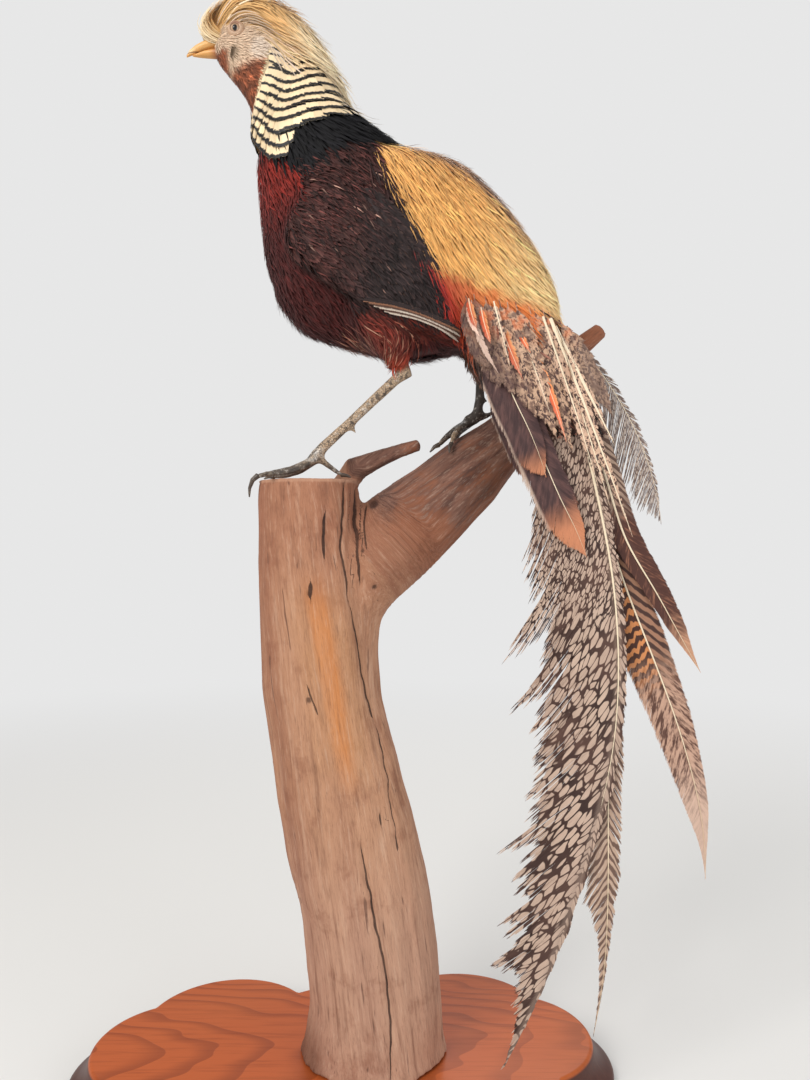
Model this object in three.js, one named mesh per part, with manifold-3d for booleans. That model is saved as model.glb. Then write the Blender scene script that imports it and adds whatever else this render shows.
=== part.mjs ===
// A mounted golden pheasant cock on a forked driftwood log with a scalloped plaque.
// Millimetres. The bill points to -X, the bird's left side is -Y, +Z is up.
// The origin is the middle of the plaque's underside.
import * as THREE from 'three';
import { mergeVertices } from 'three/addons/utils/BufferGeometryUtils.js';
import Module from 'manifold-3d';

const wasm = await Module();
wasm.setup();

// ---------------------------------------------------------------- named sizes
const AIR = 0.3; // gap left between neighbouring solids
const FAR = 400; // reach of a cutting block

const HEAD_MID_Y = 12; // the head turns a little away from the left side
const BODY_MID_Y = 0;
const TAIL_TOP_Z = 570;
const TAIL_TOP_Y = -23; // the tail swings towards the left side ...
const TAIL_END_Z = 40;
const TAIL_END_Y = -63; // ... all the way down
const TAIL_RIDGE_X = 190; // the tail is a steep roof: its ridge
const TAIL_ROOF_SLOPE = 0.1; // and how fast each side falls away from it

const PLAQUE_THICK = 28;
const PLAQUE_TURN = THREE.MathUtils.degToRad(3);
const PLAQUE_SIDES = 60;
const PLAQUE_LOBES = [
  { x: 0, y: 0, radius: 82 },
  { x: 129, y: 0, radius: 60 },
  { x: -129, y: 0, radius: 60 },
  { x: 93, y: 31, radius: 66 },
  { x: 93, y: -31, radius: 66 },
  { x: -93, y: 31, radius: 66 },
  { x: -93, y: -31, radius: 66 },
];
// how far the moulded edge stands out at each height, from the underside up
const PLAQUE_EDGE = [
  { z: 0, out: 17 },
  { z: 5, out: 18 },
  { z: 8, out: 16 },
  { z: 12, out: 9.5 },
  { z: 18, out: 4.5 },
  { z: 26, out: 2 },
  { z: PLAQUE_THICK, out: 0 },
];

const EYE_RADIUS = 5.6;
const EYE = { x: -84, z: 804.5, fromMid: 9.6 };

const LOG_SIDES = 18;
// the log's round is uneven: waves round it that climb slowly; `swell` is a share of its radius
const LOG_WAVES = [
  { swell: 0.035, count: 3, climb: 0.011, start: 0 },
  { swell: 0.021, count: 5, climb: -0.017, start: 1.3 },
];

const TOE_SIDES = 6;
const LIMB_SIDES = 9;

// a loft's end is rounded by a smaller ring that stands out by a share of the bulge
const SHOULDER_SIZE = 0.75;
const SHOULDER_OUT = 0.6;

// lines of the side view along which the body is parted
const HEAD_LINE = { fromX: -74, fromZ: 737, toX: -56, toZ: 800 };
const CAPE_LINE = { fromX: -72, fromZ: 719, toX: 8, toZ: 741 };
const RUMP_LINE = { fromX: 40, fromZ: 715, toX: 96, toZ: 545 };
const MANTLE_LINE = { fromX: -72, fromZ: 708, toX: 45, toZ: 698 };
const BELLY_LINE = { fromX: -80, fromZ: 610, toX: 120, toZ: 620 };

// ------------------------------------------------------------------ materials
function finish(hex, roughness) {
  return new THREE.MeshStandardMaterial({ color: hex, roughness, metalness: 0 });
}
const GOLD = finish(0xe2b46e, 0.8);
const CREAM = finish(0xe8d4a8, 0.8);
const RED = finish(0x7d2a1e, 0.8);
const BLACK = finish(0x15161a, 0.5);
const MAROON = finish(0x44302f, 0.7);
const TAIL_BROWN = finish(0x6e5146, 0.7);
const TAIL_NET = finish(0x8c7565, 0.7);
const LEG_GREY = finish(0xa8937a, 0.6);
const HORN = finish(0xc9975c, 0.4);
const CLAW = finish(0x4a443e, 0.4);
const EYE_GLASS = finish(0xd8c48a, 0.1);
const DRIFTWOOD = finish(0xa97a5c, 0.8);
const VARNISHED = finish(0xa9582b, 0.3);

// ------------------------------------------------- meshes, joins and cuts
function closedMesh(points, triangles) {
  const geometry = new THREE.BufferGeometry();
  const flat = points.flatMap((point) => [point.x, point.y, point.z]);
  geometry.setAttribute('position', new THREE.Float32BufferAttribute(flat, 3));
  geometry.setIndex(triangles.flat());
  return geometry;
}

function toSolid(geometry) {
  const bare = geometry.clone();
  bare.deleteAttribute('normal');
  bare.deleteAttribute('uv');
  const merged = mergeVertices(bare, 1e-4);
  const vertProperties = new Float32Array(merged.attributes.position.array);
  const triVerts = new Uint32Array(merged.index.array);
  const solid = new wasm.Manifold(new wasm.Mesh({ numProp: 3, vertProperties, triVerts }));
  if (solid.volume() > 0) return solid;
  return new wasm.Manifold(new wasm.Mesh({ numProp: 3, vertProperties, triVerts: triVerts.reverse() }));
}

function toGeometry(solid) {
  const mesh = solid.getMesh();
  const geometry = new THREE.BufferGeometry();
  geometry.setAttribute('position', new THREE.BufferAttribute(mesh.vertProperties, 3));
  geometry.setIndex(new THREE.BufferAttribute(mesh.triVerts, 1));
  return geometry;
}

// a cut can leave crumbs; the piece itself is the largest of what is left
function mainPiece(solid) {
  const pieces = solid.decompose();
  pieces.sort((a, b) => b.volume() - a.volume());
  return pieces[0].simplify(0.06);
}

function without(solid, cutters) {
  return cutters.reduce((rest, cutter) => rest.subtract(cutter), solid);
}

// the half space on the upper side of a line drawn in side view
function blockAbove({ fromX, fromZ, toX, toZ }, lift) {
  const block = new THREE.BoxGeometry(FAR * 4, FAR * 2, FAR * 2);
  const along = new THREE.Vector3(toX - fromX, 0, toZ - fromZ).normalize();
  const up = new THREE.Vector3(-along.z, 0, along.x);
  const middle = new THREE.Vector3(fromX, 0, fromZ).addScaledVector(up, FAR + lift);
  const across = new THREE.Vector3(0, 1, 0);
  const placed = new THREE.Matrix4().makeBasis(along, across, up).setPosition(middle);
  block.applyMatrix4(placed);
  return toSolid(block);
}

// cuts a solid along a line of the side view; [above, below] keep the air gap between them
function partAlong(solid, line) {
  const above = solid.intersect(blockAbove(line, AIR / 2));
  const below = solid.subtract(blockAbove(line, -AIR / 2));
  return [mainPiece(above), mainPiece(below)];
}

// ---------------------------------------------------------------------- lofts
// A section is an oval between its low and its high point; `wide` is its half width.
function section(lowX, lowZ, highX, highZ, wide, midY = BODY_MID_Y, lean = 0) {
  return {
    low: new THREE.Vector3(lowX, midY - lean, lowZ),
    high: new THREE.Vector3(highX, midY + lean, highZ),
    wide,
  };
}

// 1 keeps an oval; less than 1 squares it off
function squared(value, boxy) {
  return Math.sign(value) * Math.abs(value) ** boxy;
}

function ovalRing({ low, high, wide }, sides, { grow, boxy }, share = 1) {
  const middle = low.clone().add(high).multiplyScalar(0.5);
  const up = high.clone().sub(low).multiplyScalar(0.5);
  const tall = up.length() + grow;
  up.normalize();
  const side = new THREE.Vector3(0, 1, 0).addScaledVector(up, -up.y).normalize();
  return Array.from({ length: sides }, (_, index) => {
    const angle = (index / sides) * Math.PI * 2;
    return middle
      .clone()
      .addScaledVector(up, squared(Math.cos(angle), boxy) * tall * share)
      .addScaledVector(side, squared(Math.sin(angle), boxy) * (wide + grow) * share);
  });
}

function ringMiddle(ring) {
  const sum = ring.reduce((total, point) => total.add(point), new THREE.Vector3());
  return sum.divideScalar(ring.length);
}

// joins rings of equal count into one closed mesh with a point at each end
function skinOver(rings, startPoint, endPoint) {
  const sides = rings[0].length;
  const points = [startPoint, ...rings.flat(), endPoint];
  const triangles = [];
  const at = (ring, side) => 1 + ring * sides + (side % sides);
  for (let side = 0; side < sides; side += 1) {
    triangles.push([0, at(0, side + 1), at(0, side)]);
    triangles.push([points.length - 1, at(rings.length - 1, side), at(rings.length - 1, side + 1)]);
  }
  for (let ring = 0; ring < rings.length - 1; ring += 1) {
    for (let side = 0; side < sides; side += 1) {
      triangles.push([at(ring, side), at(ring, side + 1), at(ring + 1, side)]);
      triangles.push([at(ring, side + 1), at(ring + 1, side + 1), at(ring + 1, side)]);
    }
  }
  return closedMesh(points, triangles);
}

// a rounded body through its sections; `round` is how far each end bulges out
function loft(sections, { sides = 16, round = 2, boxy = 1, grow = 0 } = {}) {
  const first = sections[0];
  const last = sections[sections.length - 1];
  const shape = { grow, boxy };
  const rings = sections.map((station) => ovalRing(station, sides, shape));
  const startOut = ringMiddle(rings[0]).sub(ringMiddle(rings[1])).normalize();
  const endOut = ringMiddle(rings[rings.length - 1]).sub(ringMiddle(rings[rings.length - 2]));
  endOut.normalize();
  const bulge = round + grow;
  const shoulder = (station, out) =>
    ovalRing(station, sides, shape, SHOULDER_SIZE).map((point) =>
      point.addScaledVector(out, bulge * SHOULDER_OUT),
    );
  const startPoint = ringMiddle(rings[0]).addScaledVector(startOut, bulge);
  const endPoint = ringMiddle(rings[rings.length - 1]).addScaledVector(endOut, bulge);
  const allRings = [shoulder(first, startOut), ...rings, shoulder(last, endOut)];
  return toSolid(skinOver(allRings, startPoint, endPoint));
}

// a round limb through knots { x, y, z, radius }
function limb(knots, { sides = LIMB_SIDES, round = 0.4, grow = 0 } = {}) {
  const path = new THREE.CatmullRomCurve3(knots.map((knot) => new THREE.Vector3(knot.x, knot.y, knot.z)));
  let across = new THREE.Vector3(0, 1, 0);
  const rings = knots.map(({ x, y, z, radius }, index) => {
    const along = path.getTangent(index / (knots.length - 1));
    across = across.clone().addScaledVector(along, -along.dot(across)).normalize();
    const up = along.clone().cross(across);
    return Array.from({ length: sides }, (_, side) => {
      const angle = (side / sides) * Math.PI * 2;
      return new THREE.Vector3(x, y, z)
        .addScaledVector(across, Math.cos(angle) * (radius + grow))
        .addScaledVector(up, Math.sin(angle) * (radius + grow));
    });
  });
  const first = knots[0].radius * round + grow;
  const last = knots[knots.length - 1].radius * round + grow;
  const startPoint = path.getPoint(0).addScaledVector(path.getTangent(0), -first);
  const endPoint = path.getPoint(1).addScaledVector(path.getTangent(1), last);
  return toSolid(skinOver(rings, startPoint, endPoint));
}

function knot(x, y, z, radius) {
  return { x, y, z, radius };
}

// ------------------------------------------------------------------- the head
const headSections = [
  section(-103, 789, -103.5, 801, 6, HEAD_MID_Y),
  section(-98, 781.5, -98, 809, 10.5, HEAD_MID_Y),
  section(-91, 773, -90, 815, 14, HEAD_MID_Y),
  section(-83, 763.5, -79, 818.5, 16.5, HEAD_MID_Y),
  section(-77, 754, -63, 817, 18.5, HEAD_MID_Y),
  section(-73.5, 744, -46, 808, 20, 11),
  section(-73.5, 735, -28, 794, 22.5, 9),
  section(-73.5, 728, -13, 776, 26, 6),
  section(-72.5, 721, -2, 758, 30, 3),
  section(-71, 714, 6, 739, 34, 0),
  section(-69.5, 704, 24, 726, 39, 0),
];

const crestSections = [
  section(-110, 811, -114, 818.5, 2, HEAD_MID_Y),
  section(-101, 806, -105, 827, 6, HEAD_MID_Y),
  section(-91, 810, -92, 841, 10.5, HEAD_MID_Y),
  section(-77, 812, -74, 839, 14, HEAD_MID_Y),
  section(-62, 808, -55, 829, 15.5, HEAD_MID_Y),
  section(-50, 798, -38, 822, 15.5, 12),
  section(-39, 785, -22, 804, 14.5, 11),
  section(-28, 771, -10, 783, 13, 9),
  section(-18, 757, -1, 764, 10, 6),
  section(-8, 744, 6, 747, 5, 4),
];

const upperBillSections = [
  section(-97, 796.8, -98, 804.5, 6, HEAD_MID_Y),
  section(-104, 795.8, -104, 803.2, 5.2, HEAD_MID_Y),
  section(-110, 794.6, -110.5, 801.6, 4.4, HEAD_MID_Y),
  section(-116, 792.6, -116.6, 798.8, 3.2, HEAD_MID_Y),
  section(-121.3, 790.4, -121.8, 795, 1.7, HEAD_MID_Y),
  section(-124, 789, -124.3, 791, 0.7, HEAD_MID_Y),
];

const lowerBillSections = [
  section(-97, 788.4, -97, 796, 5.2, HEAD_MID_Y),
  section(-104, 788.8, -104, 795.2, 4.5, HEAD_MID_Y),
  section(-110, 789.2, -110, 794, 3.6, HEAD_MID_Y),
  section(-115.5, 789.6, -115.8, 792, 2.3, HEAD_MID_Y),
  section(-119.4, 790, -119.6, 790.9, 1, HEAD_MID_Y),
];

// ------------------------------------------------------------------- the body
const trunkSections = [
  section(-70, 720, 0, 748, 31),
  section(-69.5, 708, 20, 728, 38),
  section(-68, 690, 45, 711, 42),
  section(-65.5, 658, 66, 707, 46),
  section(-62, 623, 88, 701, 47.5),
  section(-52, 590, 105, 689, 48),
  section(-33, 568.5, 123, 671, 47),
  section(-4, 559, 138, 650, 43.5),
  section(28, 551, 151, 629, 39.5),
  section(53, 547, 160, 609, 35, -3),
  section(74, 551, 164, 593, 29, -8),
  section(92, 560, 164, 579, 24, -14),
];

const wingSections = [
  section(-41, 632, -37, 650, 5, -38, -2),
  section(-38, 616, -24, 670, 9, -42, 0),
  section(-24, 603, 2, 684, 11, -43.5, 4),
  section(-2, 590, 32, 678, 11.5, -43.5, 5.5),
  section(14, 581, 48, 648, 11, -43.5, 4),
  section(31, 572, 62, 616, 9.5, -42.5, 2),
  section(50, 565, 73, 592, 7.5, -39, 1),
  section(68, 560.5, 79, 572, 4.5, -36, 0),
  section(82, 557.5, 84, 560.5, 1.5, -33, 0),
];

function mirrored(sections) {
  return sections.map(({ low, high, wide }) => ({
    low: new THREE.Vector3(low.x, -low.y, low.z),
    high: new THREE.Vector3(high.x, -high.y, high.z),
    wide,
  }));
}

const thighKnots = {
  left: [knot(26, -22, 590, 30), knot(36, -22, 566, 22), knot(43, -22, 549, 12), knot(46.5, -22, 540, 7)],
  right: [knot(84, 18, 596, 28), knot(94, 21, 576, 20), knot(103, 23, 560, 11), knot(106, 24, 549, 7)],
};
const shankKnots = {
  left: [
    knot(49.5, -22, 538, 5.4), knot(40, -22, 532, 4.6),
    knot(5, -22.5, 499, 4.1), knot(-15, -23, 480.5, 4.6),
  ],
  right: [
    knot(106, 24, 548, 5.2), knot(106.5, 24, 538, 4.4),
    knot(105.5, 24, 524, 4.1), knot(104, 24, 513, 4.6),
  ],
};
const spurKnots = {
  left: [knot(6, -22, 498, 3), knot(8.5, -23, 493.5, 1.8), knot(10.5, -24, 490.5, 0.7)],
  right: [knot(106, 24, 526, 3), knot(110, 24.5, 523, 1.8), knot(113, 25, 521.5, 0.7)],
};
// each toe starts at the foot's pad; its last knot is where the claw begins
const footPads = {
  left: [knot(-15.5, -23, 479.5, 5), knot(-19.5, -23, 475, 5.6), knot(-23, -23, 471, 4.6)],
  right: [knot(104, 24, 512, 5), knot(101, 24, 508.5, 6), knot(95, 24, 506, 5.6)],
};
const toes = {
  left: {
    middle: [
      knot(-22, -23, 471, 4), knot(-38, -25, 464.5, 3.3),
      knot(-52, -26, 461.5, 3), knot(-61, -26.5, 460, 2.7),
    ],
    inner: [
      knot(-21, -21, 471, 3.8), knot(-33, -12, 464, 3.1),
      knot(-45, -4, 461.2, 2.8), knot(-53, 0, 460.6, 2.5),
    ],
    outer: [
      knot(-22, -25, 471, 3.8), knot(-32, -33, 464, 3),
      knot(-41, -38, 461, 2.7), knot(-48, -40, 460.2, 2.4),
    ],
    hind: [knot(-18, -22, 473, 3.4), knot(-9, -20.5, 466.5, 2.8), knot(-2, -19.5, 461.2, 2.3)],
  },
  right: {
    middle: [
      knot(98, 24, 506, 4.4), knot(87, 22.5, 500, 3.9),
      knot(79, 21.5, 493.5, 3.3), knot(74, 21, 488, 2.8),
    ],
    inner: [knot(98, 22, 505, 4), knot(89, 12, 500, 3.4), knot(84, 4, 493, 2.9), knot(82, 0, 487, 2.5)],
    outer: [knot(98, 26, 505, 4), knot(90, 36, 499, 3.3), knot(86, 43, 492.5, 2.8), knot(84.5, 46, 487, 2.5)],
    hind: [knot(103, 25, 508, 3.4), knot(111, 27, 511, 2.8), knot(118, 28.5, 514.6, 2.3)],
  },
};
const claws = {
  left: {
    middle: [
      knot(-62, -26.5, 460, 2.3), knot(-66, -27, 456.5, 1.9),
      knot(-68.2, -27, 450.5, 1.3), knot(-68.4, -27, 444, 0.6),
    ],
    inner: [knot(-54, 0.4, 460.6, 2.1), knot(-58.5, 2.2, 461, 1.6), knot(-62.5, 3.6, 459.3, 0.6)],
    outer: [knot(-49, -40.3, 460.2, 2), knot(-53.5, -42.5, 460.4, 1.5), knot(-57.5, -44.5, 458.5, 0.6)],
    hind: [knot(-1.2, -19.3, 460.8, 1.9), knot(2.6, -18.6, 460.4, 1.4), knot(6, -18.2, 459, 0.6)],
  },
  right: {
    middle: [knot(73.3, 20.9, 487.5, 2.3), knot(69.5, 20.3, 485.7, 1.7), knot(66, 19.8, 481.5, 0.6)],
    inner: [knot(81.7, -0.9, 486.1, 2.1), knot(80.4, -5, 483.1, 1.5), knot(80, -8, 478.5, 0.6)],
    outer: [knot(84.2, 46.8, 486.1, 2.1), knot(83.4, 50.4, 482.7, 1.5), knot(83, 52.6, 478.1, 0.6)],
    hind: [knot(118.8, 28.7, 515, 1.9), knot(122.6, 29.5, 516.3, 1.4), knot(126, 30.2, 516, 0.6)],
  },
};

// ------------------------------------------------------------------- the tail
const tailRootSections = [
  section(88, 572, 160, 588, 21, -18),
  section(86, 560, 166, 570, 20, -21),
  section(96, 535, 179, 542, 17, -26),
  section(110, 507, 189, 513, 12, -28),
  section(128, 484, 195, 488, 6, -30),
];

// Each long feather: its layer in the pile, the shaft in side view from root to tip, and the
// half widths of its two vanes; `left` is the vane on the bill side. `tip` is the share of the
// length over which it narrows and `point` how sharply it does so.
const plumes = {
  tail_lateral_left_outer: {
    layer: -11, left: 18, right: 9, tip: 0.25, point: 0.7,
    shaft: [[104, 562], [110, 551], [118, 529], [126, 510], [135, 492], [144, 469], [147, 458]],
  },
  tail_lateral_left_inner: {
    layer: -8.5, left: 19, right: 11, tip: 0.3, point: 0.8,
    shaft: [[124, 530], [130, 515], [139, 485], [148, 465], [158, 441], [169, 420], [176, 401]],
  },
  tail_central_left: {
    layer: -4, left: 55, right: 6, tip: 0.2, point: 0.75,
    shaft: [[161, 545], [176, 493], [188, 434], [196, 398], [200, 340], [200, 312], [195, 256], [180, 207],
      [161, 152], [150, 124], [137, 90], [114, 53]],
  },
  tail_central_right: {
    layer: 0, left: 20, right: 10, tip: 0.4, point: 0.8,
    shaft: [[164, 530], [180, 440], [190, 390], [196, 340], [195, 297], [190, 238], [191, 206], [189, 138],
      [187, 104], [178, 66]],
  },
  tail_splayed_short: {
    layer: 4, left: 17, right: 10, tip: 0.35, point: 0.8,
    shaft: [[170, 531], [188, 479], [198, 445], [206, 414], [218, 393], [229, 376], [240, 354], [260, 317]],
  },
  tail_splayed_long: {
    layer: 7, left: 15, right: 9, tip: 0.55, point: 0.9,
    shaft: [[176, 500], [190, 442], [205, 383], [217, 354], [226, 329], [242, 286], [255, 239],
      [262, 204], [261, 171]],
  },
  tail_curved_covert: {
    layer: 10, left: 24, right: 5, tip: 0.35, point: 0.8,
    shaft: [[166, 566], [178, 559], [192, 540], [207, 517], [219, 493], [228, 468], [233, 449], [236, 425]],
  },
  tail_middle_right: {
    layer: 12.5, left: 26, right: 10, tip: 0.3, point: 0.7,
    shaft: [[160, 520], [172, 470], [181, 420], [187, 370], [189, 320], [186, 270]],
  },
  tail_lateral_right_inner: {
    layer: 15, left: 19, right: 12, tip: 0.3, point: 0.7,
    shaft: [[138, 526], [150, 490], [160, 462], [170, 432], [180, 398]],
  },
  tail_lateral_right_outer: {
    layer: 17.5, left: 17, right: 11, tip: 0.3, point: 0.7,
    shaft: [[116, 545], [124, 520], [134, 496], [144, 472], [152, 452]],
  },
};
const PLUME_STEPS = 14;
const PLUME_THICK = 1.1; // at the vanes' edges
const SHAFT_THICK = 2.0; // along the shaft
const ROOT_BULGE = 0.5;
const LAST_STATION = 0.985; // the last cross-section sits just short of the tip

function tailMidY(z) {
  const down = (TAIL_TOP_Z - z) / (TAIL_TOP_Z - TAIL_END_Z);
  return TAIL_TOP_Y + down * (TAIL_END_Y - TAIL_TOP_Y);
}

// the roof of the tail: left side layers fall to -Y, right side layers to +Y
function tailLayerY(x, z, layer) {
  const side = layer < 0 ? -1 : 1;
  const fromRidge = Math.max(0, TAIL_RIDGE_X - x);
  return tailMidY(z) + layer + side * TAIL_ROOF_SLOPE * fromRidge;
}

// how wide a vane is along the feather: quickly out, then full, then in to the tip
function vaneShare(share, tip, point) {
  const root = Math.min(1, 0.45 + share * 6);
  const ahead = Math.min(1, (1 - share) / tip);
  return root * (1 - (1 - ahead) ** 2) ** point;
}

function plume({ layer, left, right, tip, point, shaft }) {
  const path = new THREE.CatmullRomCurve3(shaft.map(([x, z]) => new THREE.Vector3(x, 0, z)));
  const rings = [];
  for (let index = 0; index <= PLUME_STEPS; index += 1) {
    const share = Math.min(index / PLUME_STEPS, LAST_STATION);
    const middle = path.getPointAt(share);
    const along = path.getTangentAt(share);
    const toBill = new THREE.Vector3(along.z, 0, -along.x);
    const vane = vaneShare(share, tip, point);
    const place = (reach, lift) => {
      const spot = middle.clone().addScaledVector(toBill, reach);
      spot.y = tailLayerY(spot.x, spot.z, layer) + lift;
      return spot;
    };
    rings.push([
      place(left * vane, -PLUME_THICK / 2),
      place(0, -SHAFT_THICK / 2),
      place(-right * vane, -PLUME_THICK / 2),
      place(-right * vane, PLUME_THICK / 2),
      place(0, SHAFT_THICK / 2),
      place(left * vane, PLUME_THICK / 2),
    ]);
  }
  const startPoint = ringMiddle(rings[0]);
  startPoint.z += ROOT_BULGE;
  const endPoint = path.getPointAt(1);
  endPoint.y = tailLayerY(endPoint.x, endPoint.z, layer);
  return toSolid(skinOver(rings, startPoint, endPoint));
}

// ------------------------------------------------------------------ the mount
const logKnots = [
  { z: PLAQUE_THICK + AIR, left: -33, right: 79, y: -13 },
  { z: 38, left: -29, right: 76, y: -13 },
  { z: 66, left: -25, right: 75, y: -13 },
  { z: 104, left: -28, right: 71, y: -13 },
  { z: 141, left: -34, right: 66.5, y: -13 },
  { z: 179, left: -44, right: 58, y: -12 },
  { z: 216, left: -49.5, right: 50, y: -12 },
  { z: 262, left: -56, right: 37, y: -12 },
  { z: 299, left: -61, right: 29, y: -12 },
  { z: 337, left: -63, right: 28, y: -12 },
  { z: 380, left: -64.5, right: 28, y: -12 },
  { z: 420, left: -64.5, right: 18, y: -13 },
  { z: 445, left: -64.5, right: 13, y: -13 },
  { z: 457, left: -64, right: 11, y: -13 },
];
const LOG_DEPTH = 0.86; // front to back over left to right

const branchKnots = [
  knot(-14, -12, 350, 28), knot(14, -9, 390, 37), knot(43, -2, 418, 36), knot(73, 9, 442.5, 31.5),
  knot(98, 20, 466, 28.5), knot(122, 28, 488, 22.5), knot(141, 33, 510, 15.5), knot(165, 38, 540, 10),
  knot(188, 41, 568.5, 8.6), knot(206, 42, 583, 6.5),
];
const stubKnots = [
  knot(-4, 2, 446, 11), knot(8, 2, 467, 10), knot(27, 1, 475, 7.4), knot(42, 0, 480.5, 5.6),
  knot(57, -1, 485, 4.8),
];

function unevenness(angle, height) {
  return LOG_WAVES.reduce(
    (sum, { swell, count, climb, start }) => sum + swell * Math.sin(count * angle + height * climb + start),
    0,
  );
}

function logTrunk() {
  const rings = logKnots.map(({ z, left, right, y }) => {
    const half = (right - left) / 2;
    const middle = (right + left) / 2;
    return Array.from({ length: LOG_SIDES }, (_, side) => {
      const angle = (side / LOG_SIDES) * Math.PI * 2;
      const round = 1 + unevenness(angle, z) * Math.abs(Math.sin(angle));
      return new THREE.Vector3(
        middle + Math.cos(angle) * half * round,
        y + Math.sin(angle) * half * LOG_DEPTH * round,
        z,
      );
    });
  });
  return toSolid(skinOver(rings, ringMiddle(rings[0]), ringMiddle(rings[rings.length - 1])));
}

function perchLog(grow = 0) {
  const branch = limb(branchKnots, { sides: 14, round: 0.25, grow });
  const stub = limb(stubKnots, { sides: 8, round: 0.3, grow });
  return logTrunk().add(branch).add(stub);
}

// the farthest a straight line from the middle runs inside the plaque's lobes
function plaqueReach(angle) {
  const dirX = Math.cos(angle);
  const dirY = Math.sin(angle);
  const reaches = PLAQUE_LOBES.map(({ x, y, radius }) => {
    const along = x * dirX + y * dirY;
    const aside = x * dirY - y * dirX;
    return Math.abs(aside) > radius ? 0 : along + Math.sqrt(radius ** 2 - aside ** 2);
  });
  return Math.max(...reaches);
}

function plaque() {
  const rings = PLAQUE_EDGE.map(({ z, out }) =>
    Array.from({ length: PLAQUE_SIDES }, (_, side) => {
      const angle = (side / PLAQUE_SIDES) * Math.PI * 2;
      const reach = plaqueReach(angle) + out;
      const turned = angle + PLAQUE_TURN;
      return new THREE.Vector3(Math.cos(turned) * reach, Math.sin(turned) * reach, z);
    }),
  );
  return toSolid(skinOver(rings, new THREE.Vector3(0, 0, 0), new THREE.Vector3(0, 0, PLAQUE_THICK)));
}

function eyeBall(side, grow = 0) {
  const ball = new THREE.SphereGeometry(EYE_RADIUS + grow, 10, 6);
  ball.translate(EYE.x, HEAD_MID_Y + side * EYE.fromMid, EYE.z);
  return toSolid(ball);
}

// ------------------------------------------------------------ parting the bird
const pheasant = new THREE.Group();

function place(name, solid, material) {
  const mesh = new THREE.Mesh(toGeometry(solid), material);
  mesh.name = name;
  pheasant.add(mesh);
}

const SIDES = { left: -1, right: 1 };
const HEAD_LOFT = { sides: 16, round: 2 };
const TRUNK_LOFT = { sides: 20, round: 3 };
const WING_LOFT = { sides: 12, round: 2, boxy: 0.8 };
const BILL_LOFT = { sides: 10, round: 0.5 };
const grown = (options) => ({ ...options, grow: AIR });

const CREST_LOFT = { sides: 12, round: 1.5 };
const crest = loft(crestSections, CREST_LOFT);
const crestRoom = loft(crestSections, grown(CREST_LOFT));
const eyeRooms = Object.values(SIDES).map((side) => eyeBall(side, AIR));
const upperBill = loft(upperBillSections, BILL_LOFT);
const upperBillRoom = loft(upperBillSections, grown(BILL_LOFT));
const lowerBill = mainPiece(loft(lowerBillSections, BILL_LOFT).subtract(upperBillRoom));
const billRooms = [upperBillRoom, loft(lowerBillSections, grown(BILL_LOFT))];

const headAndNeck = without(loft(headSections, HEAD_LOFT), [crestRoom, ...eyeRooms, ...billRooms]);
const [head, neck] = partAlong(headAndNeck, HEAD_LINE);
const [cape] = partAlong(neck, CAPE_LINE);
place('head', head, CREAM);
place('neck_cape', cape, CREAM);
place('crest', crest, GOLD);
place('bill_upper', upperBill, HORN);
place('bill_lower', lowerBill, HORN);
Object.entries(SIDES).forEach(([name, side]) => place(`eye_${name}`, eyeBall(side), EYE_GLASS));

const wings = { left: wingSections, right: mirrored(wingSections) };
const wingRooms = Object.values(wings).map((sections) => loft(sections, grown(WING_LOFT)));
const TAIL_ROOT_LOFT = { sides: 14, round: 2 };
const tailRootRoom = loft(tailRootSections, grown(TAIL_ROOT_LOFT));
const wholeTrunk = without(loft(trunkSections, TRUNK_LOFT), [...wingRooms, crestRoom, tailRootRoom]);
const [, trunkBelowCape] = partAlong(wholeTrunk, CAPE_LINE);
const [rump, front] = partAlong(trunkBelowCape, RUMP_LINE);
const [mantle, chest] = partAlong(front, MANTLE_LINE);
const [breast, belly] = partAlong(chest, BELLY_LINE);
const tailRoot = mainPiece(loft(tailRootSections, TAIL_ROOT_LOFT));
place('mantle', mantle, BLACK);
place('breast', breast, RED);
place('belly', belly, RED);
place('rump', rump, GOLD);
place('tail_root', tailRoot, TAIL_NET);
const crowd = loft(trunkSections, grown(TRUNK_LOFT));
Object.entries(wings).forEach(([name, sections]) => {
  place(`wing_${name}`, mainPiece(without(loft(sections, WING_LOFT), [tailRootRoom])), MAROON);
});

Object.entries(plumes).forEach(([name, sizes]) => {
  const solid = mainPiece(without(plume(sizes), [tailRootRoom, crowd]));
  const plain = name.includes('lateral') || name.includes('splayed');
  place(name, solid, plain ? TAIL_BROWN : TAIL_NET);
});

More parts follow.
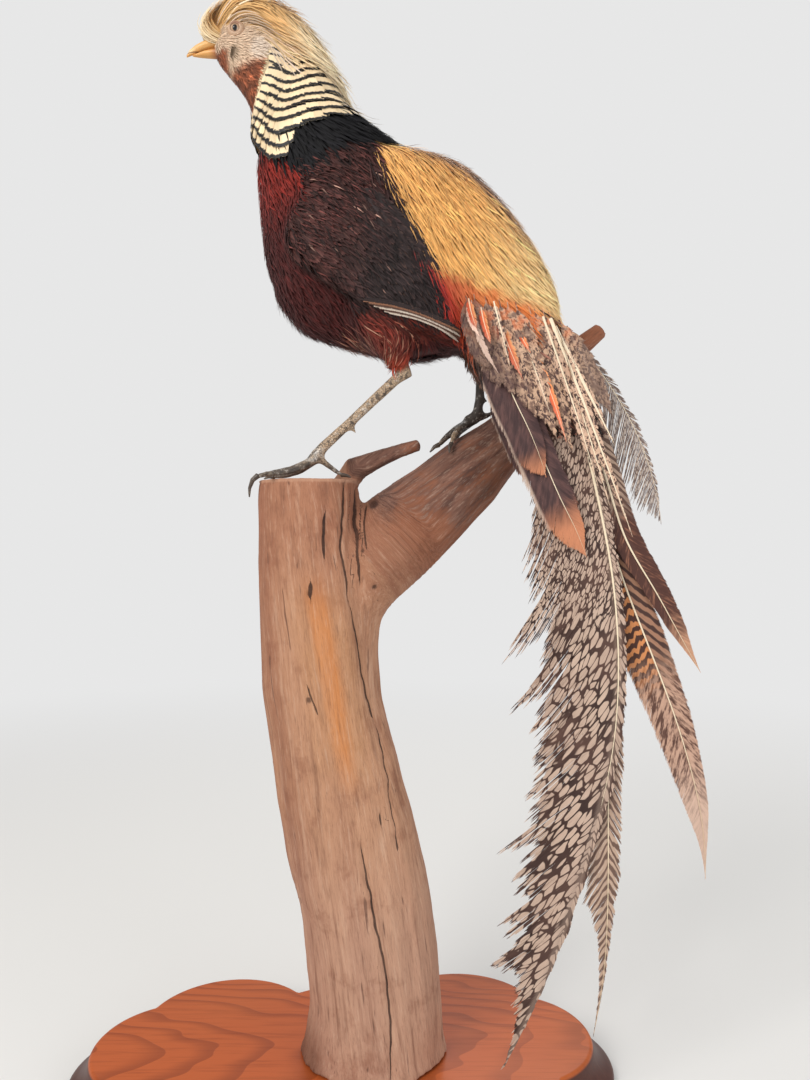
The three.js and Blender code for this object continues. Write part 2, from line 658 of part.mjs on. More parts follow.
const logRoom = perchLog(AIR);
Object.keys(SIDES).forEach((name) => {
  const thigh = limb(thighKnots[name], { sides: 12, round: 0.2 });
  const shank = limb(shankKnots[name]).add(limb(spurKnots[name], { sides: 6 }));
  const shankRoom = limb(shankKnots[name], { grow: AIR });
  const toeLimbs = Object.values(toes[name]).map((knots) => limb(knots, { sides: TOE_SIDES }));
  const clawRooms = Object.values(claws[name]).map((knots) => limb(knots, { sides: 6, grow: AIR }));
  const foot = toeLimbs.reduce((sum, toe) => sum.add(toe), limb(footPads[name], { sides: 6 }));
  const keepOut = [crowd, tailRootRoom, ...wingRooms];
  place(`thigh_${name}`, mainPiece(without(thigh, [...keepOut, shankRoom])), RED);
  place(`shank_${name}`, mainPiece(without(shank, keepOut)), LEG_GREY);
  place(`foot_${name}`, mainPiece(without(foot, [shankRoom, logRoom, ...clawRooms])), LEG_GREY);
  Object.entries(claws[name]).forEach(([toe, knots]) => {
    const claw = limb(knots, { sides: 6, round: 0.5 });
    place(`claw_${name}_${toe}`, mainPiece(claw.subtract(logRoom)), CLAW);
  });
});

place('perch_log', mainPiece(perchLog()), DRIFTWOOD);
place('plaque', plaque(), VARNISHED);

export default pheasant;
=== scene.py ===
"""A golden pheasant cock, mounted on a forked driftwood log that stands on a scalloped plaque."""

import math

import bmesh
import bpy
import numpy as np
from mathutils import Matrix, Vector, noise
from mathutils.bvhtree import BVHTree


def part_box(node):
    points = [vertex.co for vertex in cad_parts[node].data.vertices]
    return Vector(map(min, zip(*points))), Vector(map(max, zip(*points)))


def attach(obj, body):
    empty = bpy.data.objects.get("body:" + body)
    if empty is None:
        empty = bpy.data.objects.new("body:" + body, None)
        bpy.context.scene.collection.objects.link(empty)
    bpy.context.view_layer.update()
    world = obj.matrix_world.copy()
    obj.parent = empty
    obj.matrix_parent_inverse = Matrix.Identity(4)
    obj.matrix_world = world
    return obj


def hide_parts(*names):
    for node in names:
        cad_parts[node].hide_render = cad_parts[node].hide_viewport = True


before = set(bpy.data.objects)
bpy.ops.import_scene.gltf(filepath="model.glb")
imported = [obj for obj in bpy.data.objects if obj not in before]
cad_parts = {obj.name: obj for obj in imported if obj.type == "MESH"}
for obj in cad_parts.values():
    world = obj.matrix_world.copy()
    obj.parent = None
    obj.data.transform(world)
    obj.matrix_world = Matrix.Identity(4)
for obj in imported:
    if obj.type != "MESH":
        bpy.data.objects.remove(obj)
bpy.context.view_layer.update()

# ---------------------------------------------------------------- studio: camera, lamps and floor
# A camera level with the middle of the log looks straight along +Y from close by. Large soft
# lamps stand in front on the left, in front on the right and behind, over a pale seamless floor.
LENS_MM = 29
FILM_MM = 36
CAMERA_PLACE = (0.0463, -0.668, 0.416)
HORIZON_SHIFT = -0.0046
BACKDROP_GREY = 0.80
FAR_FLOOR = 4.0


def linear(red, green, blue):
    """A colour given as 0-255 screen values, as a shader takes it."""
    parts = [value / 255 for value in (red, green, blue)]
    return tuple(p / 12.92 if p <= 0.04045 else ((p + 0.055) / 1.055) ** 2.4 for p in parts) + (1,)


class Term:
    """A shader value; sums written with it add their Math nodes."""

    def __init__(self, finish, socket):
        self.finish = finish
        self.socket = socket

    def maths(self, operation, *terms):
        return self.finish.node("ShaderNodeMath", {"operation": operation}, dict(enumerate(terms)))

    def __add__(self, other):
        return self.maths("ADD", self, other)

    def __radd__(self, other):
        return self.maths("ADD", other, self)

    def __sub__(self, other):
        return self.maths("SUBTRACT", self, other)

    def __rsub__(self, other):
        return self.maths("SUBTRACT", other, self)

    def __mul__(self, other):
        return self.maths("MULTIPLY", self, other)

    def __rmul__(self, other):
        return self.maths("MULTIPLY", other, self)

    def __truediv__(self, other):
        return self.maths("DIVIDE", self, other)

    def __pow__(self, other):
        return self.maths("POWER", self, other)

    def __abs__(self):
        return self.maths("ABSOLUTE", self)

    def sine(self):
        return self.maths("SINE", self)

    def between(self, low, high):
        """0 below low, 1 above high, and smooth in the middle; low may be the larger one."""
        share = (self - low) / (high - low)
        clear = self.finish.node("ShaderNodeClamp", {}, {"Value": share})
        return clear * clear * (3 - 2 * clear)


class Finish:
    """A material with a Principled surface, and the few calls that fill it."""

    def __init__(self, name, **constants):
        self.material = bpy.data.materials.new(name)
        self.material.use_nodes = True
        self.tree = self.material.node_tree
        self.surface = self.tree.nodes["Principled BSDF"]
        for socket, value in constants.items():
            self.surface.inputs[socket.replace("_", " ")].default_value = value

    def put(self, target, value):
        if isinstance(value, Term):
            self.tree.links.new(value.socket, target)
        else:
            target.default_value = value

    def node(self, kind, settings, inputs, output=0):
        made = self.tree.nodes.new(kind)
        for setting, value in settings.items():
            setattr(made, setting, value)
        for socket, value in inputs.items():
            self.put(made.inputs[socket], value)
        return Term(self, made.outputs[output])

    def feed(self, socket, value):
        self.put(self.surface.inputs[socket], value)

    def spot(self):
        return self.node("ShaderNodeTexCoord", {}, {}, "Object")

    def vane(self):
        """Across (-1 to 1) and along (0 to 1) a feather."""
        return self.parts(self.node("ShaderNodeUVMap", {"uv_map": "vane"}, {}))[:2]

    def attribute(self, name, output="Fac"):
        return self.node("ShaderNodeAttribute", {"attribute_name": name}, {}, output)

    def parts(self, vector):
        split = self.tree.nodes.new("ShaderNodeSeparateXYZ")
        self.put(split.inputs[0], vector)
        return [Term(self, out) for out in split.outputs]

    def joined(self, x, y, z=0.0):
        return self.node("ShaderNodeCombineXYZ", {}, {0: x, 1: y, 2: z})

    def stretched(self, vector, scale):
        settings = {"operation": "MULTIPLY"}
        return self.node("ShaderNodeVectorMath", settings, {0: vector, 1: scale})

    def noise(self, vector, scale, detail=3.0, roughness=0.55, distortion=0.0):
        sizes = {"Vector": vector, "Scale": scale, "Detail": detail}
        sizes |= {"Roughness": roughness, "Distortion": distortion}
        return self.node("ShaderNodeTexNoise", {}, sizes)

    def mix(self, share, one, other, how="MIX"):
        settings = {"data_type": "RGBA", "blend_type": how, "clamp_factor": True}
        return self.node("ShaderNodeMix", settings, {0: share, 6: one, 7: other}, 2)

    def layered(self, tone, *layers):
        """A tone with others laid over it in turn; a layer is its share, and its tone or screen colour."""
        for share, over in layers:
            tone = self.mix(share, tone, over if isinstance(over, Term) else linear(*over))
        return tone

    def bump(self, height, distance, strength=1.0):
        sizes = {"Height": height, "Distance": distance, "Strength": strength}
        self.feed("Normal", self.node("ShaderNodeBump", {}, sizes))


def finished(name, mesh, finish, smooth=True):
    """Shows a mesh as a piece that stays with the object and has its material."""
    piece = bpy.data.objects.new(name, mesh)
    bpy.context.scene.collection.objects.link(piece)
    mesh.materials.clear()
    mesh.materials.append(finish.material)
    mesh.polygons.foreach_set("use_smooth", [smooth] * len(mesh.polygons))
    return piece


camera_data = bpy.data.cameras.new("camera")
camera_data.lens = LENS_MM
camera_data.sensor_width = FILM_MM
camera_data.shift_y = HORIZON_SHIFT
camera = bpy.data.objects.new("camera", camera_data)
camera.location = CAMERA_PLACE
camera.rotation_euler = (math.pi / 2, 0, 0)
bpy.context.scene.collection.objects.link(camera)
bpy.context.scene.camera = camera
bpy.context.scene.view_settings.view_transform = "Standard"


def lamp(name, place, target, size, watts, tone):
    data = bpy.data.lights.new(name, "AREA")
    data.size = size
    data.energy = watts
    data.color = tone
    made = bpy.data.objects.new(name, data)
    made.location = place
    made.rotation_euler = (Vector(target) - Vector(place)).to_track_quat("-Z", "Y").to_euler()
    bpy.context.scene.collection.objects.link(made)


OBJECT_MIDDLE = (0.0, 0.0, 0.45)
lamp("lamp_key", (-1.1, -1.5, 1.5), OBJECT_MIDDLE, 1.1, 34, (1.0, 0.98, 0.95))
lamp("lamp_fill", (1.5, -1.1, 0.8), OBJECT_MIDDLE, 1.4, 11, (0.95, 0.97, 1.0))
lamp("lamp_back", (0.4, 1.5, 1.6), OBJECT_MIDDLE, 1.2, 12, (1.0, 1.0, 1.0))

world = bpy.data.worlds.new("studio")
bpy.context.scene.world = world
world.use_nodes = True
room = world.node_tree
ray = room.nodes.new("ShaderNodeLightPath")
lit = room.nodes["Background"]
lit.inputs["Color"].default_value = (1, 1, 1, 1)
lit.inputs["Strength"].default_value = 0.55
seen = room.nodes.new("ShaderNodeBackground")
seen.inputs["Color"].default_value = (1, 1, 1, 1)
seen.inputs["Strength"].default_value = BACKDROP_GREY
choose = room.nodes.new("ShaderNodeMixShader")
room.links.new(ray.outputs["Is Camera Ray"], choose.inputs[0])
room.links.new(lit.outputs[0], choose.inputs[1])
room.links.new(seen.outputs[0], choose.inputs[2])
room.links.new(choose.outputs[0], room.nodes["World Output"].inputs[0])

floor_finish = Finish("pale_floor", Roughness=0.9)
floor_finish.feed("Base Color", (0.74, 0.73, 0.71, 1))
floor_glow = floor_finish.node("ShaderNodeEmission", {}, {"Color": (1, 1, 1, 1), "Strength": BACKDROP_GREY})
floor_x, floor_y = floor_finish.parts(floor_finish.spot())[:2]
floor_reach = ((floor_x * floor_x + floor_y * floor_y) ** 0.5).between(0.45, 1.9)
floor_mix = floor_finish.node("ShaderNodeMixShader", {}, {
    0: floor_reach,
    1: Term(floor_finish, floor_finish.surface.outputs[0]),
    2: floor_glow,
})
floor_finish.put(floor_finish.tree.nodes["Material Output"].inputs["Surface"], floor_mix)
floor_bm = bmesh.new()
bmesh.ops.create_circle(floor_bm, cap_ends=True, segments=64, radius=FAR_FLOOR)
floor_mesh = bpy.data.meshes.new("floor")
floor_bm.to_mesh(floor_mesh)
floor_bm.free()
floor = finished("floor", floor_mesh, floor_finish, smooth=False)

# ---------------------------------------------------------------- plaque
# A scalloped board of varnished hardwood, its top flat-sawn with arched grain. The moulded edge
# flares out to the foot and is stained dark; the log is screwed to it from below.
MM = 0.001
PLAQUE_OUTLINE_STEPS = 300
PLAQUE_TURN = math.radians(3)
# the lobes as circles: X, Y and radius
PLAQUE_LOBES = ((0, 0, 82), (129, 0, 60), (-129, 0, 60), (93, 31, 66), (93, -31, 66), (-93, 31, 66),
                (-93, -31, 66))
# height and how far the edge stands out there, from the underside up
PLAQUE_EDGE = ((0, 16.6), (2.5, 17.6), (5, 17.8), (6.6, 17.2), (8, 15.6), (9.5, 12.6), (12, 9.3),
               (15, 6.6), (18, 4.6), (22, 3.0), (25.4, 2.0), (26.9, 1.2), (27.8, 0.2), (28, -1.2))
plaque_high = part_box("plaque")[1]


def plaque_reach(angle):
    """The farthest that a straight line from the middle runs inside the lobes, in millimetres."""
    reach = 0
    for x, y, radius in PLAQUE_LOBES:
        along = x * math.cos(angle) + y * math.sin(angle)
        aside = x * math.sin(angle) - y * math.cos(angle)
        if abs(aside) < radius:
            reach = max(reach, along + math.sqrt(radius * radius - aside * aside))
    return reach


plaque_bm = bmesh.new()
ring = bmesh.ops.create_circle(plaque_bm, cap_ends=False, segments=PLAQUE_OUTLINE_STEPS, radius=1)["verts"]
ring_angles = [math.atan2(vert.co.y, vert.co.x) for vert in ring]
edge_loop = list(plaque_bm.edges)
foot_loop = edge_loop
for level, (height, out) in enumerate(PLAQUE_EDGE):
    if level:
        grown = bmesh.ops.extrude_edge_only(plaque_bm, edges=edge_loop)["geom"]
        edge_loop = [item for item in grown if isinstance(item, bmesh.types.BMEdge) and item.is_boundary]
        ring = [item for item in grown if isinstance(item, bmesh.types.BMVert)]
        ring_angles = [math.atan2(vert.co.y, vert.co.x) - PLAQUE_TURN for vert in ring]
    for vert, angle in zip(ring, ring_angles):
        reach = (plaque_reach(angle) + out) * MM
        turned = angle + PLAQUE_TURN
        vert.co = (math.cos(turned) * reach, math.sin(turned) * reach, height * MM)
bmesh.ops.holes_fill(plaque_bm, edges=edge_loop, sides=0)
bmesh.ops.holes_fill(plaque_bm, edges=foot_loop, sides=0)
bmesh.ops.recalc_face_normals(plaque_bm, faces=plaque_bm.faces)
plaque_mesh = bpy.data.meshes.new("plaque_board")
plaque_bm.to_mesh(plaque_mesh)
plaque_bm.free()

board = Finish("varnished_board", Roughness=0.4, Coat_Weight=0.1, Coat_Roughness=0.16,
               Specular_IOR_Level=0.15)
board_x, board_y, board_z = board.parts(board.spot())
board_wander = board.noise(board.joined(board_x * 3.0, board_y * 9.0, 0.0), 1.6, 2.0)
board_arch = (board_y + 0.018 + (board_wander - 0.5) * 0.05) * 3.4
board_rings = board_arch * board_arch * 2.6 + board_x * 1.35 + (board_wander - 0.5) * 0.22
board_band = board.node("ShaderNodeMath", {"operation": "FRACT"}, {0: board_rings * 15.0 + 20.0})
board_late = board_band.between(0.45, 0.97) * (1 - board_band.between(0.975, 1.0))
board_fine = board.noise(board.joined(board_x * 22.0, board_y * 420.0, board_z * 300.0), 1.0, 4.0)
board_patch = board.noise(board.spot(), 9.0, 2.0)
board_tone = board.layered(
    linear(180, 88, 42),
    (board_late * 0.6, (128, 56, 26)),
    (board_fine.between(0.45, 0.75) * 0.35, (120, 52, 24)),
    (board_patch.between(0.4, 0.75) * 0.25, (188, 104, 54)),
)
board_rim = 1 - board_z.between(0.0245, 0.0266)
board_edge_tone = board.layered(linear(62, 36, 32), (board_fine, (96, 58, 48)))
board.feed("Base Color", board.mix(board_rim, board_tone, board_edge_tone))
board.feed("Roughness", 0.36 + board_fine * 0.14)
board.bump(board_fine * 0.4 + board_late * 0.6, 0.00012, 0.6)
plaque_piece = finished("plaque_board", plaque_mesh, board)
plaque_top = [polygon for polygon in plaque_mesh.polygons if len(polygon.vertices) > 4]
for polygon in plaque_top:
    polygon.use_smooth = False
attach(plaque_piece, "root")
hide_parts("plaque")

# ---------------------------------------------------------------- driftwood log
# A grey-brown length of barkless driftwood, sawn flat on top, with one upswept branch and a broken
# stub. The weather has opened long cracks along its fibres; orange heartwood shows in the middle.
LOG_VOXEL = 1.9 * MM
LOG_SWELL = 1.5 * MM
FIBRE_DEPTH = 0.5 * MM
BRANCH_AXIS = Vector((0.74, 0.24, 0.63)).normalized()
BRANCH_STARTS = Vector((0.012, 0.0, 0.385))
BRANCH_TAKES_OVER = 0.05
# cracks in the side that faces the camera: points x, z, then half width and depth
LOG_CRACKS = (
    (((15, 198), (20, 171), (26.6, 136), (33.3, 104), (36.2, 72), (36.7, 28)), 0.75, 5.0),
    (((2.9, 456), (2.3, 431), (0, 408), (4.3, 388), (7.2, 368)), 0.8, 4.0),
    (((-10.8, 433), (-12.2, 415), (-11, 399)), 0.95, 3.0),
    (((7.2, 366), (12.1, 344), (17.3, 318), (20.8, 298), (26, 281)), 0.65, 3.0),
    (((26, 280), (31.8, 252), (36.2, 223), (40.5, 194)), 0.35, 1.5),
    (((11.5, 452), (11, 425), (12.1, 397), (14, 380)), 0.9, 5.0),
    (((17, 440), (16, 420), (19, 405)), 0.6, 3.0),
    (((28.6, 217), (29.2, 208)), 0.6, 1.5),
    (((40, 199), (41, 189)), 0.7, 1.5),
    (((-24, 309), (-20, 297), (-16, 288)), 0.7, 2.0),
    (((-21.5, 382), (-20.5, 371)), 1.6, 2.5),
)
# broad, shallow furrows between the ridges of the grown wood: points x, z, then half width and depth
LOG_FURROWS = (
    (((-46, 388), (-38, 344), (-28, 304), (-17, 284), (-4, 258), (4, 234), (14, 198)), 5.0, 2.2),
    (((10, 456), (9, 400), (16, 340), (24, 290), (34, 240)), 6.0, 2.6),
    (((-30, 290), (-24, 240), (-14, 180), (-8, 120), (-10, 60)), 7.0, 1.6),
    (((-52, 300), (-44, 240), (-34, 170), (-30, 110)), 5.0, 1.4),
    (((40, 180), (50, 130), (52, 70), (54, 30)), 6.0, 1.5),
)
CRACK_REACH = 6.0
# knots and hollows: x, z, radius and depth
LOG_HOLLOWS = ((-23, 298, 3.2, 2.0), (16, 405, 2.2, 3.0), (22, 440, 5.0, 5.0), (24.6, 378, 2.6, 2.5))
# the hollow under the branch is rounded out within this distance of its middle
FORK_MIDDLE = Vector((0.028, 0.01, 0.348))
FORK_REACH = 0.05
FORK_ROUNDS = 160


def merged_copy(names, grow=0.0):
    """One mesh of copies of CAD nodes, each swollen a little so that neighbours run into each other."""
    joined = bmesh.new()
    for name in names:
        part = bmesh.new()
        part.from_mesh(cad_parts[name].data)
        bmesh.ops.remove_doubles(part, verts=part.verts, dist=1e-6)
        part.normal_update()
        moves = [(vert, vert.normal * grow) for vert in part.verts]
        for vert, move in moves:
            vert.co += move
        swollen = bpy.data.meshes.new("swollen")
        part.to_mesh(swollen)
        part.free()
        joined.from_mesh(swollen)
        bpy.data.meshes.remove(swollen)
    mesh = bpy.data.meshes.new("copy")
    joined.to_mesh(mesh)
    joined.free()
    return mesh


def remeshed(mesh, voxel):
    """The same solid with an even mesh."""
    worker = bpy.data.objects.new("worker", mesh)
    bpy.context.scene.collection.objects.link(worker)
    grid = worker.modifiers.new("grid", "REMESH")
    grid.mode = "VOXEL"
    grid.voxel_size = voxel
    graph = bpy.context.evaluated_depsgraph_get()
    even = bpy.data.meshes.new_from_object(worker.evaluated_get(graph))
    bpy.data.objects.remove(worker)
    return even


def mesh_points(mesh):
    flat = np.empty(len(mesh.vertices) * 3)
    mesh.vertices.foreach_get("co", flat)
    return flat.reshape(-1, 3)


def mesh_normals(mesh):
    flat = np.empty(len(mesh.vertices) * 3)
    mesh.vertex_normals.foreach_get("vector", flat)
    return flat.reshape(-1, 3)


def set_points(mesh, points):
    mesh.vertices.foreach_set("co", points.astype(np.float32).ravel())
    mesh.update()


def evened(values, edges, rounds, strength=0.5):
    """Values at the vertices of a mesh, each drawn towards the average of its neighbours."""
    count = np.zeros(len(values))
    np.add.at(count, edges[:, 0], 1)
    np.add.at(count, edges[:, 1], 1)
    count = np.maximum(count, 1).reshape((-1,) + (1,) * (values.ndim - 1))
    for _ in range(rounds):
        total = np.zeros_like(values)
        np.add.at(total, edges[:, 0], values[edges[:, 1]])
        np.add.at(total, edges[:, 1], values[edges[:, 0]])
        values = values + (total / count - values) * strength
    return values


def mesh_edges(mesh):
    pairs = np.empty(len(mesh.edges) * 2, dtype=np.int64)
    mesh.edges.foreach_get("vertices", pairs)
    return pairs.reshape(-1, 2)


def field(mesh, name, kind, values):
    """Stores one value at each vertex, for the material to read."""
    slot = {"FLOAT": "value", "FLOAT_VECTOR": "vector", "FLOAT_COLOR": "color"}[kind]
    layer = mesh.attributes.new(name, kind, "POINT")
    layer.data.foreach_set(slot, np.asarray(values, dtype=np.float32).ravel())


def distance_to_line(flat_points, line):
    """How far flat points are from a broken line, positive on its left, and how far along it (0-1)."""
    nearest = np.full(len(flat_points), 1e9)
    share = np.zeros(len(flat_points))
    pieces = len(line) - 1
    for index in range(pieces):
        start = np.array(line[index], dtype=float)
        step = np.array(line[index + 1], dtype=float) - start
        along = np.clip((flat_points - start) @ step / (step @ step), 0, 1)
        off = flat_points - start - along[:, None] * step
        left = np.where(step[0] * off[:, 1] - step[1] * off[:, 0] < 0, -1.0, 1.0)
        gap = np.linalg.norm(off, axis=1) * left
        closer = np.abs(gap) < np.abs(nearest)
        nearest = np.where(closer, gap, nearest)
        share = np.where(closer, (index + along) / pieces, share)
    return nearest, share


log_mesh = remeshed(merged_copy(["perch_log"]), LOG_VOXEL)
log_edges = mesh_edges(log_mesh)
log_points = mesh_points(log_mesh)
log_cut = log_points[:, 2] > 0.4555
log_points = np.where(log_cut[:, None], log_points, evened(log_points, log_edges, 10))
fork_near = np.linalg.norm(log_points - np.array(FORK_MIDDLE), axis=1) / FORK_REACH
fork_share = np.clip(1.3 - fork_near, 0, 0.6)[:, None]
log_points = evened(log_points, log_edges, FORK_ROUNDS, fork_share)
set_points(log_mesh, log_points)
log_out = mesh_normals(log_mesh)
trunk_axis = np.array([-0.13, 0.0, 0.99])
branch_axis = np.array(BRANCH_AXIS)
from_fork = log_points - np.array(BRANCH_STARTS)
past_fork = np.clip(from_fork @ branch_axis / BRANCH_TAKES_OVER, 0, 1)
leans_right = np.clip((log_points[:, 0] - 0.004) / 0.02, 0, 1)
on_stub = (log_points[:, 2] > 0.4595) & (log_points[:, 0] > 0.002)
on_branch = evened(np.maximum(past_fork * leans_right, on_stub), log_edges, 14)
SQUEEZE = 0.93


def squeezed(points, axis):
    """Points with the distance along the fibres shortened, so that noise is drawn out along them."""
    return points - (points @ axis)[:, None] * axis * SQUEEZE


fibre = squeezed(log_points, trunk_axis) * (1 - on_branch[:, None])
fibre += squeezed(log_points, branch_axis) * on_branch[:, None]
ridges = np.array([noise.noise(Vector(p) * 210) + 0.6 * noise.noise(Vector(p) * 470) for p in fibre])
swells = np.array([noise.noise(Vector(p) * 24) for p in log_points])
log_move = FIBRE_DEPTH * ridges + LOG_SWELL * swells
log_crack = np.zeros(len(log_points))
log_gap = np.full(len(log_points), CRACK_REACH)
log_wide = np.zeros(len(log_points))
facing = log_out[:, 1] < -0.05
side_view = log_points[:, [0, 2]] / MM
wiggle = np.array([noise.noise(Vector((0, 0, p[2] * 90))) for p in log_points]) * 1.2
side_view[:, 0] += wiggle
for line, half, depth in LOG_FURROWS:
    gap, share = distance_to_line(side_view, line)
    tapered = np.clip(np.minimum(share, 1 - share) * 4, 0, 1)
    log_move -= np.exp(-(gap / half) ** 2) * tapered * facing * depth * MM
for line, half, depth in LOG_CRACKS:
    gap, share = distance_to_line(side_view, line)
    tapered = half * np.clip(np.minimum(share, 1 - share) * 5 + 0.15, 0, 1)
    log_move -= np.clip(1.3 - np.abs(gap) / (tapered + 0.9), 0, 1) * facing * depth * 0.35 * MM
    closer = np.abs(gap) < np.abs(log_gap)
    log_gap = np.where(closer, gap, log_gap)
    log_wide = np.where(closer, tapered * facing, log_wide)
for x, z, radius, depth in LOG_HOLLOWS:
    gap = np.hypot(side_view[:, 0] - x, side_view[:, 1] - z)
    inside = np.clip(1.2 - gap / radius, 0, 1) * facing
    log_move -= inside * depth * 0.5 * MM
    log_crack = np.maximum(log_crack, np.clip(inside * 1.3, 0, 1))
log_move = np.where(log_cut, np.minimum(log_move, 0) * 0.4, log_move)
log_points = log_points + log_out * log_move[:, None]
log_points[:, 2] = np.maximum(log_points[:, 2], plaque_high.z + 0.0001)
set_points(log_mesh, log_points)
field(log_mesh, "fibre", "FLOAT_VECTOR", fibre)
field(log_mesh, "hollow", "FLOAT", log_crack)
field(log_mesh, "crack_gap", "FLOAT", log_gap)
field(log_mesh, "crack_near", "FLOAT", np.abs(log_gap) < CRACK_REACH - 1.5)
field(log_mesh, "crack_wide", "FLOAT", evened(log_wide, log_edges, 1))
field(log_mesh, "branch", "FLOAT", on_branch)

wood = Finish("driftwood", Roughness=0.82, Specular_IOR_Level=0.3)
wood_fibre = wood.attribute("fibre", "Vector")
wood_hollow = wood.attribute("hollow")
wood_branch = wood.attribute("branch")
wood_x, wood_y, wood_z = wood.parts(wood.spot())
wood_broad = wood.noise(wood_fibre, 26.0, 3.0, 0.5)
wood_streak = wood.noise(wood_fibre, 110.0, 5.0, 0.65, 0.4)
wood_hair = wood.noise(wood_fibre, 560.0, 4.0, 0.7)
wood_thread = wood.noise(wood_fibre, 1700.0, 2.0, 0.6)
wood_dash = wood.noise(wood_fibre, 300.0, 2.0, 0.5, 0.6)
wood_cloud = wood.noise(wood.spot(), 14.0, 3.0)
wood_patch = wood.noise(wood.spot(), 42.0, 4.0, 0.65)
wood_side = wood_x + 0.13 * (wood_z - 0.2) + (wood_broad - 0.5) * 0.05
# the orange heartwood that shows as a stripe down the front
stain_off = abs(wood_x - 0.172 * (0.30 - wood_z) + 0.0015 + (wood_broad - 0.5) * 0.024)
stain_high = wood_z.between(0.225, 0.265) * wood_z.between(0.40, 0.34)
stain_front = wood_y.between(-0.02, -0.035)
stain = stain_off.between(0.011, 0.003) * stain_high * stain_front
stain = stain * (0.45 + (wood_streak - 0.5) * 1.4 + (wood_patch - 0.4) * 0.8)
stain_wide = (stain_off - 0.012).between(0.014, 0.0) * stain_high * stain_front
wood_trunk = wood.layered(
    linear(150, 102, 78),
    (wood_broad.between(0.3, 0.7), (182, 136, 106)),
    (wood_z.between(0.24, 0.10) * 0.5, (188, 150, 130)),
    (wood_z.between(0.32, 0.44) * 0.6, (148, 94, 70)),
    (wood_streak.between(0.5, 0.72) * 0.6, (116, 76, 58)),
    (wood_streak.between(0.46, 0.28) * 0.35, (208, 172, 146)),
    (wood_patch.between(0.5, 0.68) * 0.4, (124, 74, 54)),
    (wood_side.between(-0.038, -0.062) * 0.6, (142, 82, 54)),
    (stain, (204, 122, 60)),
    (stain_wide * wood_patch * 0.5, (196, 142, 92)),
)
wood_grey = wood.layered(linear(126, 90, 76), (wood_streak.between(0.38, 0.62), (78, 54, 48)))
wood_warm = wood.layered(linear(176, 104, 64), (wood_streak, (120, 70, 48)))
wood_under = (wood_cloud + (wood_hair - 0.5) * 0.4).between(0.46, 0.6)
wood_below = wood_branch * (wood_z - wood_x * 0.85).between(0.345, 0.325)
wood_limb = wood.layered(wood_grey, (wood_under * 0.6, wood_warm), (wood_below * 0.7, (158, 92, 52)))
wood_pits = wood_dash.between(0.67, 0.74)
wood_foot = wood_z.between(0.075, 0.03) * wood_x.between(-0.006, -0.022)
wood_rim = wood_z.between(0.4535, 0.4555)
wood_rim_tone = wood.layered(linear(196, 150, 122), (wood_hair, (150, 106, 84)))
crack_wide = wood.attribute("crack_wide")
wood_gap = abs(wood.attribute("crack_gap") + (wood_hair - 0.5) * 1.6)
wood_crack = (wood_gap / (crack_wide + 0.02)).between(1.25, 0.6)
wood_crack = wood_crack * wood.attribute("crack_near").between(0.4, 0.7) * crack_wide.between(0.05, 0.25)
wood.feed("Base Color", wood.layered(
    wood_trunk,
    (wood_branch.between(0.3, 0.9) * 0.92, wood_limb),
    (wood_hair.between(0.5, 0.78) * 0.5, (96, 64, 50)),
    (wood_hair.between(0.48, 0.3) * 0.25, (214, 182, 158)),
    (wood_thread.between(0.52, 0.75) * 0.3, (92, 62, 50)),
    (wood_pits * 0.6, (78, 50, 42)),
    (wood_foot * 0.7, (96, 58, 42)),
    (wood_rim * (1 - wood_branch.between(0.2, 0.6)), wood_rim_tone),
    (wood_hollow.between(0.3, 1.0) * (0.5 + wood_hair * 0.5), (52, 32, 27)),
    (wood_crack * (0.55 + wood_patch * 0.6), (44, 28, 24)),
))
wood.feed("Roughness", 0.72 + wood_hair * 0.2)
wood_relief = wood_streak * 0.5 + wood_hair * 0.5 + wood_thread * 0.2 - wood_crack - wood_pits * 0.4
wood.bump(wood_relief, 0.0009, 0.8)
log_piece = finished("driftwood_log", log_mesh, wood)
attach(log_piece, "root")
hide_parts("perch_log")

# ---------------------------------------------------------------- skin
# The tanned skin over the filled body, in one piece from the face to the toes. Feathers cover all of
# it but the lids, a bare spot under each eye and the scaly legs; it carries the coat's markings.
SKIN_VOXEL = 1.5 * MM
SKIN_GROW = 0.7 * MM
# how deep the skin lies under the solids' surface in each part
COAT_DEPTH_MM = {
    "head": 1.3, "neck_cape": 4.0, "crest": 3.6, "mantle": 3.6, "breast": 3.6, "belly": 4.0,
    "rump": 5.0, "tail_root": 5.0, "wing_left": 3.4, "wing_right": 3.4, "thigh_left": 3.2,
    "thigh_right": 3.2, "shank_left": 0.2, "shank_right": 0.2, "foot_left": 0.2, "foot_right": 0.2,
}
LEG_PARTS = ("shank_left", "shank_right", "foot_left", "foot_right", "shank_top")
CLAWS = [f"claw_{side}_{toe}" for side in ("left", "right") for toe in ("middle", "inner", "outer", "hind")]
HEAD_MID_Y = 12
EYE_MIDDLE = (-84, 804.5)
EAR_MIDDLE = (-65.5, 789)
BARE_SPOT = (-86.3, 787.2)
CREAM = (236, 212, 172)
FACE_CREAM = (222, 194, 166)
EAR_WHITE = (228, 208, 188)
THROAT_RUST = (150, 86, 58)
BARE_OLIVE = (98, 78, 56)
CREST_GOLD = (218, 172, 112)
CREST_PALE = (240, 220, 184)
MANTLE_BLACK = (13, 12, 15)
BREAST_RED = (138, 34, 22)
BELLY_MAROON = (72, 21, 18)
THIGH_RED = (112, 44, 34)
KNEE_RED = (176, 66, 36)
RUMP_GOLD = (234, 174, 100)
RUMP_STRAW = (244, 208, 148)
FRINGE_RED = (196, 62, 30)
FRINGE_ORANGE = (222, 118, 54)
RIDGE_DARK = (70, 44, 38)
RIDGE_PINK = (206, 158, 132)
